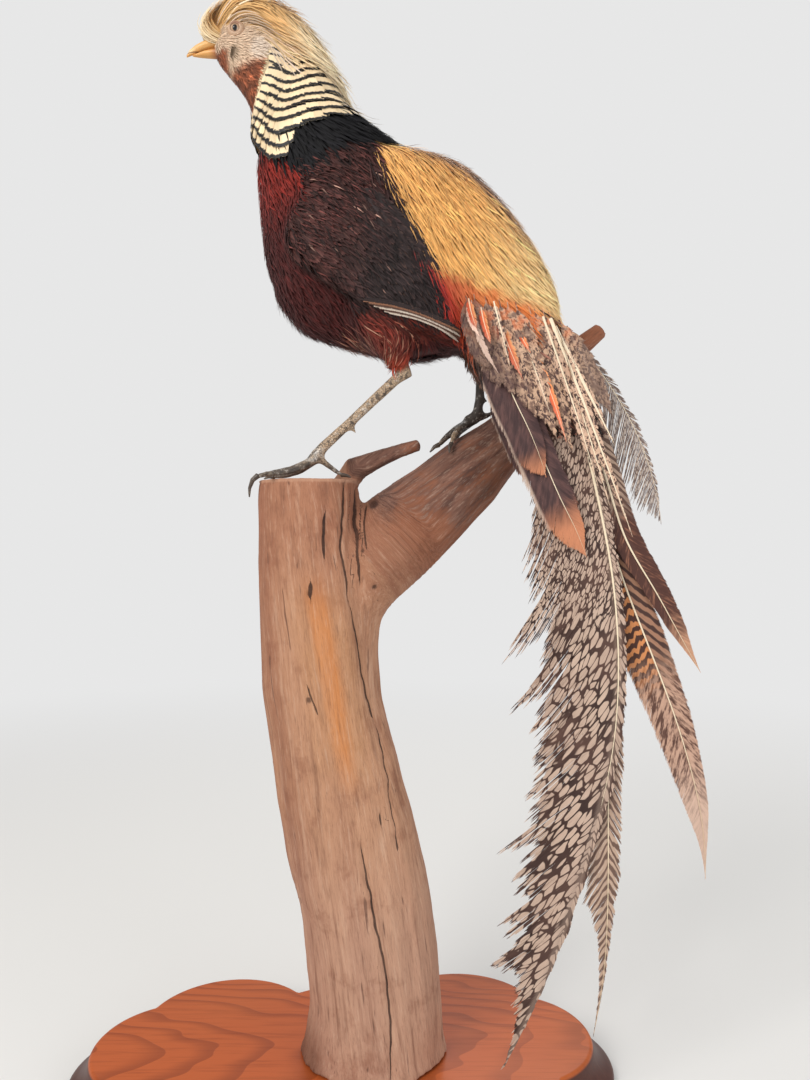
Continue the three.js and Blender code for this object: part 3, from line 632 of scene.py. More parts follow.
WING_MAROON = (64, 36, 33)
WING_BLACK = (44, 34, 34)
TAIL_MUD = (92, 64, 54)
LEG_TAN = (188, 160, 130)
LEG_DARK = (70, 62, 56)
LEG_WHITE = (206, 202, 198)

# Lines of the side view, in millimetres, where one plumage gives way to another
CREST_EDGE = ((-95, 812), (-80, 812), (-72, 807), (-58, 791), (-50, 781))
GOLD_EDGE = ((575, 75), (596, 67), (621, 58), (643, 47), (661, 40), (690, 26), (700, 21))
MANTLE_EDGE = ((-70, 722), (-64, 717), (-53, 705), (-47, 697), (-32, 690), (-12, 699), (3, 705),
               (18, 708), (38, 714), (60, 716))
MANTLE_REAR = ((700, 14), (704, 18), (709, 26), (714, 38), (722, 42))
WING_EDGE = ((-40, 696), (-30, 672), (-20, 650), (0, 600), (22, 580), (82, 563))
NAPE_EDGE = ((-26, 724), (-20, 731), (0, 735), (12, 737))

flesh_tree_points = []
flesh_tree_faces = []
flesh_names = []
for part in COAT_DEPTH_MM:
    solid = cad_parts[part].data
    base = len(flesh_tree_points)
    flesh_tree_points += [vert.co.copy() for vert in solid.vertices]
    flesh_tree_faces += [[base + index for index in face.vertices] for face in solid.polygons]
    flesh_names += [part] * len(solid.polygons)
flesh_tree = BVHTree.FromPolygons(flesh_tree_points, flesh_tree_faces)


def plumage_of(points):
    """The kind of plumage at places of the body: the nearest part's, moved to the edges above."""
    zones = np.array([flesh_names[flesh_tree.find_nearest(point)[2]] for point in points])
    x = points[:, 0] / MM
    z = points[:, 2] / MM
    chest = np.isin(zones, ("breast", "belly"))
    zones[(zones == "head") & (z > np.interp(x, *zip(*CREST_EDGE)))] = "crest"
    zones[(zones == "neck_cape") & (x > -26) & (z < np.interp(x, *zip(*NAPE_EDGE)))] = "mantle"
    zones[chest & (x > -40) & (z > np.interp(x, *zip(*WING_EDGE)))] = "wing_over"
    zones[chest & (z > np.interp(x, *zip(*MANTLE_EDGE)))] = "mantle"
    zones[(zones == "thigh_left") & (z < 529 + (x - 35) * 0.67)] = "shank_top"
    shoulder = zones == "mantle"
    zones[shoulder & (z < np.interp(x, *zip(*MANTLE_EDGE))) & (x > -40)] = "wing_over"
    zones[shoulder & (x > np.interp(z, *zip(*MANTLE_REAR)))] = "rump"
    under_gold = np.isin(zones, ("wing_over", "breast", "belly")) & (z > 575)
    zones[under_gold & (x > np.interp(z, *zip(*GOLD_EDGE)))] = "rump"
    return zones


skin_mesh = remeshed(merged_copy([*COAT_DEPTH_MM, *CLAWS], SKIN_GROW), SKIN_VOXEL)
skin_edges = mesh_edges(skin_mesh)
skin_points = mesh_points(skin_mesh)
skin_zone = plumage_of(skin_points)
on_leg = np.isin(skin_zone, LEG_PARTS)
smoothness = np.where(on_leg, 0.06, np.where(skin_zone == "head", 0.25, 0.5))
smoothness = evened(smoothness, skin_edges, 10)[:, None]
skin_points = evened(skin_points, skin_edges, 40, smoothness)
set_points(skin_mesh, skin_points)
depth = np.array([COAT_DEPTH_MM.get(zone, 3.6) for zone in skin_zone]) * MM + SKIN_GROW
depth = np.where(on_leg, depth, evened(depth, skin_edges, 30))
skin_points = skin_points - mesh_normals(skin_mesh) * depth[:, None]
skin_points = evened(skin_points, skin_edges, 12, smoothness)
set_points(skin_mesh, skin_points)


def blend_tint(share, one, other):
    """Colours between two, one for each share from 0 to 1."""
    share = np.clip(share, 0, 1)[:, None]
    return np.array(one) * (1 - share) + np.array(other) * share


def step_up(values, low, high):
    """0 up to low, 1 from high on, smooth in the middle."""
    share = np.clip((values - low) / (high - low), 0, 1)
    return share * share * (3 - 2 * share)


def coat_tint(points, zones):
    """The plumage's colour at places of the body, as screen values."""
    x = points[:, 0] / MM
    z = points[:, 2] / MM
    tint = np.tile(np.array(CREAM, dtype=float), (len(points), 1))
    patches = np.array([noise.noise(Vector(point) * 330.0) for point in points])[:, None]
    throat = step_up(777 + 0.22 * (x + 84) - z, -3, 5)
    throat = np.maximum(throat, step_up(-x - 89, 0, 5) * step_up(793 - z, 0, 4))
    face = blend_tint(throat, FACE_CREAM, THROAT_RUST) * (1 + patches * 0.7 * throat[:, None])
    ear = 1 - step_up(np.hypot(x - EAR_MIDDLE[0], (z - EAR_MIDDLE[1]) * 0.9), 6, 10)
    face = face * (1 - ear[:, None]) + np.array(EAR_WHITE) * ear[:, None]
    spot = 1 - step_up(np.hypot((x - BARE_SPOT[0]) / 3.2, (z - BARE_SPOT[1]) / 4.8), 0.7, 1.1)
    face = face * (1 - spot[:, None]) + np.array(BARE_OLIVE) * spot[:, None]
    crown = blend_tint(step_up(x, -88, -38), CREST_GOLD, CREST_PALE)
    red = blend_tint(step_up(698 - z, 0, 62), BREAST_RED, BELLY_MAROON) * (1 + patches * 0.3)
    rump = blend_tint(step_up(x - 0.25 * (z - 640), 60, 150), RUMP_GOLD, RUMP_STRAW)
    above_fringe = z - np.interp(x, (60, 76, 160), (608, 588, 572)) + patches[:, 0] * 8
    fringe = (1 - step_up(above_fringe, 6, 24)) * (1 - 0.8 * step_up(x, 125, 150))
    reds = blend_tint(step_up(x, 70, 105), FRINGE_RED, FRINGE_ORANGE)
    rump = rump * (1 - fringe[:, None]) + reds * fringe[:, None]
    ridge = (1 - step_up(np.abs(points[:, 1] / MM), 9, 20))[:, None] * (1 - step_up(x, 100, 135))[:, None]
    ridge_tint = blend_tint(patches[:, 0] * 2 + 0.5, RIDGE_DARK, RIDGE_PINK)
    rump = rump * (1 - ridge * 0.75) + ridge_tint * ridge * 0.75
    mottle = 0.9 * (1 - 0.7 * step_up(x + (650 - z) * 0.4, 0, 40))[:, None]
    wing = blend_tint(step_up(x + (650 - z) * 0.4, -5, 45), WING_MAROON, WING_BLACK) * (1 + patches * mottle)
    under = step_up(578 - z + 0.22 * (60 - x), 0, 6)[:, None]
    wing = wing * (1 - under) + np.array(THIGH_RED) * 0.8 * under
    thigh = blend_tint(step_up(564 - z, 0, 24), THIGH_RED, KNEE_RED) * (1 + patches * 0.3)
    # painted shade: the far leg and its foot, in the body's shadow, are darkened towards LEG_DARK
    legs = blend_tint(step_up(points[:, 1] / MM, 0, 14) * step_up(z, 480, 500), LEG_TAN, LEG_DARK)
    legs = legs + (np.array(LEG_DARK) - legs) * step_up(-z, -474, -464)[:, None] * 0.75
    heel = 1 - step_up(np.hypot(x + 22, z - 477), 5, 9)[:, None]
    legs = legs + (np.array(LEG_WHITE) - legs) * heel * (0.6 + patches)
    painted = {
        "head": face, "crest": crown, "breast": red, "belly": red, "rump": rump,
        "mantle": np.tile(MANTLE_BLACK, (len(points), 1)),
        "tail_root": np.tile(TAIL_MUD, (len(points), 1)) * (1 + patches * 1.4),
        "wing": wing, "thigh": thigh, "shank": legs, "foot": legs,
    }
    for zone, colours in painted.items():
        here = np.char.startswith(zones, zone)
        tint[here] = colours[here]
    return tint


def screen_to_linear(tint):
    share = np.clip(tint / 255, 0, 1)
    return np.where(share <= 0.04045, share / 12.92, ((share + 0.055) / 1.055) ** 2.4)


skin_tint = evened(coat_tint(skin_points, skin_zone), skin_edges, 2)
skin_rgba = np.hstack([screen_to_linear(skin_tint), np.ones((len(skin_tint), 1))])
field(skin_mesh, "tint", "FLOAT_COLOR", skin_rgba)
field(skin_mesh, "scaly", "FLOAT", on_leg)

hide = Finish("bird_skin", Roughness=0.75)
hide_tint = hide.attribute("tint", "Color")
hide_scaly = hide.attribute("scaly")
hide_grain = hide.noise(hide.spot(), 900.0, 3.0)
hide_cells = hide.node("ShaderNodeTexVoronoi", {"feature": "DISTANCE_TO_EDGE"},
                       {"Vector": hide.spot(), "Scale": 620.0})
hide_speck = hide.noise(hide.spot(), 260.0, 3.0, 0.7)
hide_scale = hide_cells.between(0.02, 0.12)
# painted shade: the coat's tint is darkened on the feathered skin, which shows only in the shaded gaps between
# feathers
hide_shaded_tone = hide.mix(0.34 - hide_grain * 0.2, hide_tint, (0.02, 0.015, 0.012, 1))
hide_leg = hide.layered(
    hide_tint,
    (hide_speck.between(0.5, 0.62) * 0.8, (58, 52, 48)),
    (hide_speck.between(0.46, 0.36) * 0.6, (196, 188, 178)),
    ((1 - hide_scale) * 0.7, (62, 52, 46)),
)
hide.feed("Base Color", hide.mix(hide_scaly, hide_shaded_tone, hide_leg))
hide.feed("Roughness", 0.8 - hide_scaly * 0.3)
hide.bump(hide_scale * hide_scaly + hide_grain * 0.3, 0.0005, 0.6)
skin_piece = finished("bird_skin", skin_mesh, hide)
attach(skin_piece, "root")
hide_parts(*COAT_DEPTH_MM)

# ---------------------------------------------------------------- how feathers are laid
# Every feather is a thin closed blade, or a shaft with many such blades for barbs. Roots are sown on
# the skin, the blades follow it in the direction of the lie, and rise through the coat to the tip.
# the middle of the head, neck, body and tail root in side view
BODY_AXIS_MM = ((-84, 800), (-62, 778), (-42, 745), (-14, 705), (14, 665), (50, 625), (95, 590),
                (140, 545), (165, 500))
BAKE_PATCH = 0.003
skin_tree = BVHTree.FromPolygons([Vector(p) for p in skin_points], [f.vertices[:] for f in skin_mesh.polygons])
face_corners = np.array([face.vertices[:] for face in skin_mesh.polygons])
body_axis = np.array(BODY_AXIS_MM, dtype=float) * MM


def unit(vectors):
    return vectors / np.maximum(np.linalg.norm(vectors, axis=-1, keepdims=True), 1e-9)


def sow(zones, spacing, seed, wanted=None):
    """Roots on the skin of these zones, at random but no closer than the spacing."""
    draw = np.random.default_rng(seed)
    middles = skin_points[face_corners].mean(axis=1)
    usable = np.isin(skin_zone[face_corners[:, 0]], zones)
    if wanted is not None:
        usable &= wanted(middles)
    tries = max(2, math.ceil(4 * (SKIN_VOXEL / spacing) ** 2))
    faces = draw.permutation(np.repeat(np.flatnonzero(usable), tries))
    share = draw.random((len(faces), 2, 1))
    corner = skin_points[face_corners[faces]]
    low = corner[:, 0] * (1 - share[:, 0]) + corner[:, 1] * share[:, 0]
    high = corner[:, 3] * (1 - share[:, 0]) + corner[:, 2] * share[:, 0]
    points = low * (1 - share[:, 1]) + high * share[:, 1]
    taken = {}
    kept = []
    cells = np.floor(points / spacing).astype(int)
    for index, (point, cell) in enumerate(zip(points.tolist(), cells.tolist())):
        near = [taken.get((cell[0] + i, cell[1] + j, cell[2] + k), ())
                for i in (-1, 0, 1) for j in (-1, 0, 1) for k in (-1, 0, 1)]
        if all(math.dist(point, other) >= spacing for group in near for other in group):
            taken.setdefault(tuple(cell), []).append(point)
            kept.append(index)
    return points[kept]


def on_skin(points, tree=skin_tree):
    """The nearest places of the skin, and which way is outwards there."""
    found = [tree.find_nearest(point)[:2] for point in points]
    return np.array([place for place, _ in found]), np.array([normal for _, normal in found])


def along_axis(points, axis, blend):
    """The direction of a curved axis of the side view beside each place, blended over a distance."""
    flat = points[:, [0, 2]]
    spans = axis[1:] - axis[:-1]
    mids = (axis[1:] + axis[:-1]) / 2
    gap = np.linalg.norm(flat[:, None] - mids[None], axis=2)
    weight = np.exp(-((gap - gap.min(axis=1, keepdims=True)) / blend))
    lie = unit(weight @ unit(spans))
    return np.stack([lie[:, 0], np.zeros(len(lie)), lie[:, 1]], axis=1)


def body_lie(points):
    """Head to tail along the body's curved axis."""
    return along_axis(points, body_axis, 0.02)


def fanned(points, centre, pull):
    """Away from a centre in the side view, and pulled one way."""
    away = points[:, [0, 2]] - np.array(centre)
    fan = unit(np.stack([away[:, 0], np.zeros(len(points)), away[:, 1]], axis=1))
    return unit(fan + np.array(pull))


def laid(roots, lie, length, steps, tree=skin_tree, sway=0.0, seed=0):
    """Blades' middle lines that follow the skin from their roots, with the way out at each step."""
    draw = np.random.default_rng(seed)
    place, out = on_skin(roots, tree)
    places = [place]
    outs = [out]
    turn = draw.normal(0, sway, (len(roots), 1))
    for _ in range(steps):
        ahead = lie(place)
        ahead = unit(ahead - (ahead * out).sum(axis=1, keepdims=True) * out)
        ahead = unit(ahead + np.cross(out, ahead) * turn)
        place, out = on_skin(place + ahead * (length / steps)[:, None], tree)
        places.append(place)
        outs.append(out)
    return np.stack(places, axis=1), np.stack(outs, axis=1)


def raised(places, outs, heights):
    return places + outs * heights[..., None]


def skin_patch(points):
    """Where places lie on an unwrap of the body: along its axis and round it."""
    flat = points[:, [0, 2]]
    best = np.full(len(points), 1e9)
    along = np.zeros(len(points))
    round_it = np.zeros(len(points))
    for index in range(len(body_axis) - 1):
        step = body_axis[index + 1] - body_axis[index]
        share = np.clip((flat - body_axis[index]) @ step / (step @ step), 0, 1)
        off = flat - body_axis[index] - share[:, None] * step
        gap = np.linalg.norm(off, axis=1)
        closer = gap < best
        side = off @ unit(np.array([-step[1], step[0]]))
        best = np.where(closer, gap, best)
        along = np.where(closer, (index + share) / (len(body_axis) - 1), along)
        round_it = np.where(closer, np.arctan2(points[:, 1], side) / math.tau + 0.5, round_it)
    return np.stack([0.02 + 0.96 * round_it, 0.02 + 0.96 * along], axis=1)


def blades(name, places, outs, half, thick, tint, vane=None, aside=None, patch=None, patch_aside=None,
           quill=0.0):
    """A mesh of closed three-sided blades. Each runs through its places to a point at the last one.

    half and thick are the half width and height at each place; tint is a screen colour for each
    blade or each place; vane and patch are the places' map positions, and the asides lead from
    them to the blade's right edge."""
    count, rings = places.shape[:2]
    ahead = unit(np.gradient(places, axis=1))
    right = unit(np.cross(ahead, outs))
    up = unit(np.cross(right, ahead))
    half = np.broadcast_to(half, (count, rings))
    thick = np.broadcast_to(thick, (count, rings))
    left_edge = places - right * half[..., None]
    right_edge = places + right * half[..., None]
    ridge = places + up * thick[..., None]
    per_blade = 3 * (rings - 1) + 1

    def by_vertex(left, middle, right_side):
        body = np.stack([left[:, :-1], middle[:, :-1], right_side[:, :-1]], axis=2)
        body = body.reshape(count, 3 * (rings - 1), -1)
        return np.concatenate([body, middle[:, -1:]], axis=1).reshape(count * per_blade, -1)

    corners = by_vertex(left_edge, ridge, right_edge)
    faces = [(0, 1, 2)]
    for ring_index in range(rings - 2):
        base = 3 * ring_index
        for one, two in ((0, 1), (1, 2), (2, 0)):
            faces.append((base + two, base + one, base + one + 3, base + two + 3))
    base = 3 * (rings - 2)
    for one, two in ((0, 1), (1, 2), (2, 0)):
        faces.append((base + two, base + one, base + 3))
    loops = np.concatenate([np.array(face) for face in faces])
    sizes = np.array([len(face) for face in faces])
    all_loops = (loops[None] + np.arange(count)[:, None] * per_blade).ravel()
    all_sizes = np.tile(sizes, count)
    mesh = bpy.data.meshes.new(name)
    mesh.vertices.add(len(corners))
    mesh.vertices.foreach_set("co", corners.astype(np.float32).ravel())
    mesh.loops.add(len(all_loops))
    mesh.loops.foreach_set("vertex_index", all_loops.astype(np.int32))
    mesh.polygons.add(len(all_sizes))
    mesh.polygons.foreach_set("loop_start", np.concatenate([[0], np.cumsum(all_sizes)[:-1]]).astype(np.int32))
    if vane is None:
        steps = np.linspace(0, 1, rings)
        vane = np.broadcast_to(np.stack([np.zeros(rings), steps], axis=1), (count, rings, 2))
        aside = np.broadcast_to(np.array([1.0, 0.0]), (count, rings, 2))
    if patch is None:
        spot = skin_patch(places[:, 0])[:, None, :]
        patch = spot + (vane * (0.5, 1) - (0, 0.5)) * BAKE_PATCH
        patch_aside = aside * (0.5, 1) * BAKE_PATCH
    for map_name, middle, side in (("vane", vane, aside), ("OFBake", patch, patch_aside)):
        flat = by_vertex(middle - side, middle, middle + side)
        layer = mesh.uv_layers.new(name=map_name)
        layer.data.foreach_set("uv", flat[all_loops].astype(np.float32).ravel())
    tint = tint if tint.ndim == 3 else np.broadcast_to(tint[:, None], (count, rings, 3))
    shade = np.clip(by_vertex(tint, tint, tint), 0, 255)
    rgba = np.hstack([screen_to_linear(shade), np.ones((len(shade), 1))])
    mesh.update(calc_edges=True)
    field(mesh, "tint", "FLOAT_COLOR", rgba)
    pairs = mesh_edges(mesh) % per_blade
    on_ridge = (pairs % 3 == 1) & (pairs != per_blade - 1)
    mesh.attributes.new("sharp_edge", "BOOLEAN", "EDGE").data.foreach_set("value", ~on_ridge.any(axis=1))
    lot = np.random.default_rng(len(places)).random(count)
    field(mesh, "lot", "FLOAT", np.repeat(lot, per_blade))
    field(mesh, "quill", "FLOAT", np.full(len(corners), quill))
    mesh.validate()
    return mesh


def joined_meshes(name, meshes):
    """Several meshes as one; their maps and fields go along."""
    holders = [bpy.data.objects.new("holder", mesh) for mesh in meshes]
    for holder in holders:
        bpy.context.scene.collection.objects.link(holder)
    bpy.ops.object.select_all(action="DESELECT")
    for holder in holders:
        holder.select_set(True)
    bpy.context.view_layer.objects.active = holders[0]
    bpy.ops.object.join()
    mesh = holders[0].data
    bpy.data.objects.remove(holders[0])
    mesh.name = name
    return mesh


def varied(tint, seed, spread):
    """The tints, each a little lighter or darker than it was."""
    draw = np.random.default_rng(seed)
    return tint * (1 + draw.normal(0, spread, (len(tint), 1)))


def plumage(name, root_shade=0.35, streak=0.25, sheen=0.0, fringe=None):
    """Feather material: the blade's own tint with painted shade towards its root, and fine streaks along it."""
    made = Finish(name, Sheen_Weight=sheen, Specular_IOR_Level=0.22)
    across, along = made.vane()
    lot = made.attribute("lot")
    thread = made.noise(made.joined(across * 2.5 + lot * 37.0, along * 0.7, lot * 11.0), 3.2, 3.0, 0.7)
    tone = made.attribute("tint", "Color")
    tone = made.mix(thread.between(0.35, 0.8) * streak, tone, (0.01, 0.008, 0.007, 1))
    tone = made.mix(thread.between(0.5, 0.2) * streak * 0.7, tone, (0.9, 0.86, 0.8, 1), "SOFT_LIGHT")
    # painted shade: each blade darkens towards its root, where it lies under the others
    tone = made.mix(along.between(0.45, 0.0) * root_shade, tone, (0.012, 0.01, 0.01, 1))
    if fringe:
        tone = fringe(made, tone, thread)
    made.feed("Base Color", tone)
    made.feed("Roughness", 0.5 + thread * 0.3)
    made.bump(thread, 0.0004, 0.5)
    return made


def feathered(name, mesh, finish, slot, *nodes):
    """Shows a mesh as a piece of the bird that takes the place of these nodes, if any."""
    piece = finished(name, mesh, finish)
    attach(piece, "root")
    if nodes:
        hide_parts(*nodes)


# ---------------------------------------------------------------- breast, belly and thighs
# Dense red contour feathers, frayed to silky hair at the tips; they darken to maroon under the
# belly and lie close, with a few loose wisps on the thigh and along the wing's lower edge.
BREAST_SPACING = 1.45 * MM
BREAST_LENGTH = 18 * MM
BREAST_HALF = 0.5 * MM
BREAST_RINGS = 6


def soft_coat(name, zones, spacing, length, half, rings, rise, seed, lie=body_lie, wanted=None,
              sway=0.18, spread=0.12, curl=0.0, tinted=None):
    """A dense coat of tapering blades over some zones of the skin."""
    draw = np.random.default_rng(seed)
    roots = sow(zones, spacing, seed, wanted)
    count = len(roots)
    long = length * draw.uniform(0.75, 1.25, count)
    places, outs = laid(roots, lie, long, rings - 1, sway=sway, seed=seed)
    steps = np.linspace(0, 1, rings)
    reach = rise * draw.uniform(0.7, 1.12, count)[:, None]
    heights = reach * (1 - (1 - steps) ** 1.7) + curl * draw.random((count, 1)) ** 3 * steps ** 3
    heights[:, 0] -= 0.6 * MM
    width = half * draw.uniform(0.7, 1.2, count)[:, None] * (0.55 + 1.25 * steps - 1.5 * steps ** 3)
    tint = coat_tint(roots, plumage_of(roots)) if tinted is None else tinted(roots)
    tint = varied(tint, seed, spread)
    spine = raised(places, outs, heights)
    return blades(name, spine, outs, width, width * 0.35, tint)


breast_mesh = soft_coat("breast_coat", ["breast"], BREAST_SPACING, BREAST_LENGTH, BREAST_HALF, BREAST_RINGS,
                        3.6 * MM, 11)
red_plume = plumage("red_contour", root_shade=0.2, streak=0.22, sheen=0.1)
feathered("breast_coat", breast_mesh, red_plume, "breast_feathers")


def belly_lie(points):
    """Along the body, but down the near thigh to the top of its shank."""
    near = np.hypot(points[:, 0] / MM - 46, points[:, 2] / MM - 546) / 22
    share = (np.clip(1.5 - near, 0, 1) * (points[:, 1] < 0))[:, None]
    to_shank = unit(np.array([0.030, 0.0, 0.512]) - points * np.array([1, 0, 1]))
    return unit(body_lie(points) * (1 - share) + to_shank * share)


def above_knee(points):
    """Roots far enough up the near thigh that the top of the shank stays bare."""
    x = points[:, 0] / MM
    z = points[:, 2] / MM
    return (points[:, 1] > 0) | (np.abs(x - 46) > 22) | (z > 545 + (x - 35) * 0.6)


belly_mesh = soft_coat("belly_coat", ["belly", "thigh_left", "thigh_right"], BREAST_SPACING, 17 * MM,
                       BREAST_HALF, BREAST_RINGS, 4.0 * MM, 12, lie=belly_lie, wanted=above_knee, sway=0.22,
                       curl=4 * MM)


def wisp_places(points):
    """On the thigh and along the lower edge of the wing."""
    x = points[:, 0] / MM
    z = points[:, 2] / MM
    on_thigh = np.hypot((x - 38) / 18, (z - 568) / 7) < 1
    by_wing = np.hypot((x - 2) / 16, (z - 570) / 7) < 1
    return on_thigh | by_wing


def wisp_tint(roots):
    draw = np.random.default_rng(14)
    return blend_tint(draw.random(len(roots)) ** 2, (150, 84, 66), (214, 172, 142))


wisps = soft_coat("belly_wisps", ["belly", "breast", "thigh_left", "thigh_right"], 3.0 * MM, 24 * MM,
                  0.3 * MM, 9, 5.2 * MM, 13, lie=belly_lie, wanted=wisp_places, sway=0.4, spread=0.1,
                  curl=3 * MM, tinted=wisp_tint)
belly_mesh = joined_meshes("belly_coat", [belly_mesh, wisps])
feathered("belly_coat", belly_mesh, red_plume, "breast_feathers")

# ---------------------------------------------------------------- rump
# A shawl of long, thin golden plumes with hair-like tips, which hangs down both sides of the back
# over the wings and ends in a scarlet and orange fringe over the tail.


def rump_lie(points):
    """Down the sides, and more towards the tail the farther back it is."""
    back = np.clip((points[:, 0] - 0.03) / 0.13, 0, 1)
    angle = np.radians(70 - 22 * back)
    return np.stack([np.cos(angle), np.zeros(len(points)), -np.sin(angle)], axis=1)


rump_mesh = soft_coat("rump_coat", ["rump"], 1.75 * MM, 34 * MM, 0.52 * MM, 7, 5.0 * MM, 21, lie=rump_lie,
                      sway=0.14, spread=0.09, curl=3 * MM)


def scarlet_fringe(made, tone, thread):
    """The golden feathers' lowest ends turn scarlet in front and orange behind."""
    x, _, z = made.parts(made.spot())
    patch = made.noise(made.spot(), 120.0, 2.0)
    low = (z + x * 0.37 + (thread - 0.5) * 0.012 + (patch - 0.5) * 0.02).between(0.638, 0.626)
    ends = low * x.between(0.156, 0.138)
    red = made.mix(x.between(0.076, 0.112), linear(178, 46, 36), linear(222, 118, 58))
    return made.mix(ends * 0.8, tone, red)


gold_plume = plumage("golden_rump", root_shade=0.1, streak=0.14, sheen=0.15, fringe=scarlet_fringe)
feathered("rump_coat", rump_mesh, gold_plume, "rump_feathers")
root_mesh = soft_coat("tail_root_coat", ["tail_root"], 2.3 * MM, 24 * MM, 1.0 * MM, 7, 4.6 * MM, 22,
                      lie=rump_lie, sway=0.2, spread=0.3, curl=3 * MM)
feathered("tail_root_coat", root_mesh, red_plume, "tail_coverts")

# ---------------------------------------------------------------- mantle
# Silky black feathers with a faint blue-green gloss fan out from under the cape, back over the
# shoulders and down over the top of the breast.
MANTLE_CENTRE = (-0.052, 0.762)


def mantle_lie(points):
    return fanned(points, MANTLE_CENTRE, (0.35, 0.0, -0.15))


def above_mantle_edge(points):
    """Roots far enough up and forward that the tips end at the mantle's edge."""
    x = points[:, 0] / MM
    z = points[:, 2] / MM
    return (z > np.interp(x, *zip(*MANTLE_EDGE)) + 7) & (x < np.interp(z, *zip(*MANTLE_REAR)) - 10)


mantle_mesh = soft_coat("mantle_coat", ["mantle"], 1.7 * MM, 27 * MM, 0.8 * MM, 7, 4.6 * MM, 31, lie=mantle_lie,
                        wanted=above_mantle_edge, sway=0.1, spread=0.25)
black_plume = plumage("black_mantle", root_shade=0.1, streak=0.0, sheen=0.0)
feathered("mantle_coat", mantle_mesh, black_plume, "mantle_feathers")

# ---------------------------------------------------------------- cape
# Rows of broad, square-ended feathers hang round the neck. Each is cream with a blue-black bar along
# its end and one across its middle, so that the rows draw rings of bars round the neck.
CAPE_ROWS = 12
CAPE_AROUND = 30
# heights of the topmost and lowest bar at the side of the neck; then where the rows end in front
# and behind in the side view, as X at a bar's height
CAPE_BARS = (786, 692)
CAPE_FORE_EDGE = ((692, -52), (705, -64), (712, -75), (716, -76), (734, -72), (738, -67), (750, -60),
                  (757, -57), (778, -51), (800, -46))
CAPE_REAR_EDGE = ((690, -42), (700, -35), (708, -29), (712, -24), (716, 10), (717, 60))
CAPE_CENTRE_X = -0.036
NAPE_RISE = 14 * MM
CAPE_LENGTH = 21 * MM
CAPE_HALF = 6.2 * MM
CAPE_RISE = 4.0 * MM
CAPE_STEPS = 6
NECK_BEND = 14.0


def tip_fan(start, base, tip):
    """How far barbs lean away from the shaft along a feather, in radians."""
    def lean(share):
        return np.radians(base + (tip - base) * step_up(share, start, 1.0))
    return lean


class Shafts:
    """A number of feathers' shafts: where a place beside them is, and its place on their map."""

    def __init__(self, spines, outs, bend=0.0, first=0, cells=None):
        self.spines = spines
        self.outs = outs
        self.bend = bend
        self.count, self.stations = spines.shape[:2]
        self.long = np.linalg.norm(spines[:, 1:] - spines[:, :-1], axis=2).sum(axis=1)
        self.ahead = unit(np.gradient(spines, axis=1))
        self.right = unit(np.cross(self.ahead, outs))
        self.first = first
        self.grid = int(math.ceil(math.sqrt(self.count))) if cells is None else cells

    def spot(self, owner, lateral, along, height):
        """Places at a distance aside from and along the owning feathers' shafts."""
        place = along / self.long[owner][:, None] * (self.stations - 1)
        low = np.clip(np.floor(place), 0, self.stations - 2).astype(int)
        share = place - low
        inner = np.clip(share, 0, 1)[..., None]
        own = owner[:, None]

        def between(values):
            return values[own, low] * (1 - inner) + values[own, low + 1] * inner

        way = unit(between(self.ahead))
        out = unit(between(self.outs))
        side = unit(between(self.right))
        past = (share - np.clip(share, 0, 1)) * (self.long[owner] / (self.stations - 1))[:, None]
        sag = height - self.bend * lateral ** 2
        places = between(self.spines) + way * past[..., None] + side * lateral[..., None]
        return places + out * sag[..., None], out

    def patch(self, owner, vane):
        """Each feather has its own cell of the map, with its vanes spread out flat."""
        column = ((owner + self.first) % self.grid)[:, None]
        row = ((owner + self.first) // self.grid)[:, None]
        over = 0.5 + 0.46 * np.clip(vane[..., 0], -1, 1)
        up = 0.03 + 0.94 * np.clip(vane[..., 1], 0, 1)
        return np.stack([(column + over) / self.grid, (row + up) / self.grid], axis=-1)

    def spread(self, name, owner, lateral, along, height, width, thick, half, whole, tint, flat=None,
               aside=None, quill=0.0):
        """The mesh of blades beside the shafts, with both of its maps."""
        places, normals = self.spot(owner, lateral, along, height)
        if flat is None:
            sizes = np.stack([np.maximum(half[owner], 1e-6), whole[owner]], axis=-1)[:, None]
            flat = np.stack([lateral, along], axis=-1)
            way = unit(np.gradient(flat, axis=1))
            aside = np.stack([way[..., 1], -way[..., 0]], axis=-1) * width[..., None] / sizes
            flat = flat / sizes
        patch = self.patch(owner, flat)
        patch_aside = (self.patch(owner, flat + aside) - self.patch(owner, flat - aside)) / 2
        return blades(name, places, normals, width, thick, tint[owner], flat, aside, patch, patch_aside, quill)

    def quills(self, name, girth, whole, tint, half, reach=1.0):
        """The shafts themselves."""
        owner = np.arange(self.count)
        share = np.linspace(0, reach, self.stations + 1)[None] * np.ones((self.count, 1))
        along = share * self.long[:, None]
        girth = np.broadcast_to(girth, self.count)[:, None]
        height = girth * 0.3 + np.zeros_like(along)
        width = np.maximum(girth * (1.12 - share / reach), 0.08 * MM)
        return self.spread(name, owner, np.zeros_like(along), along, height, width, width * 0.9, half, whole,
                           tint, quill=1.0)


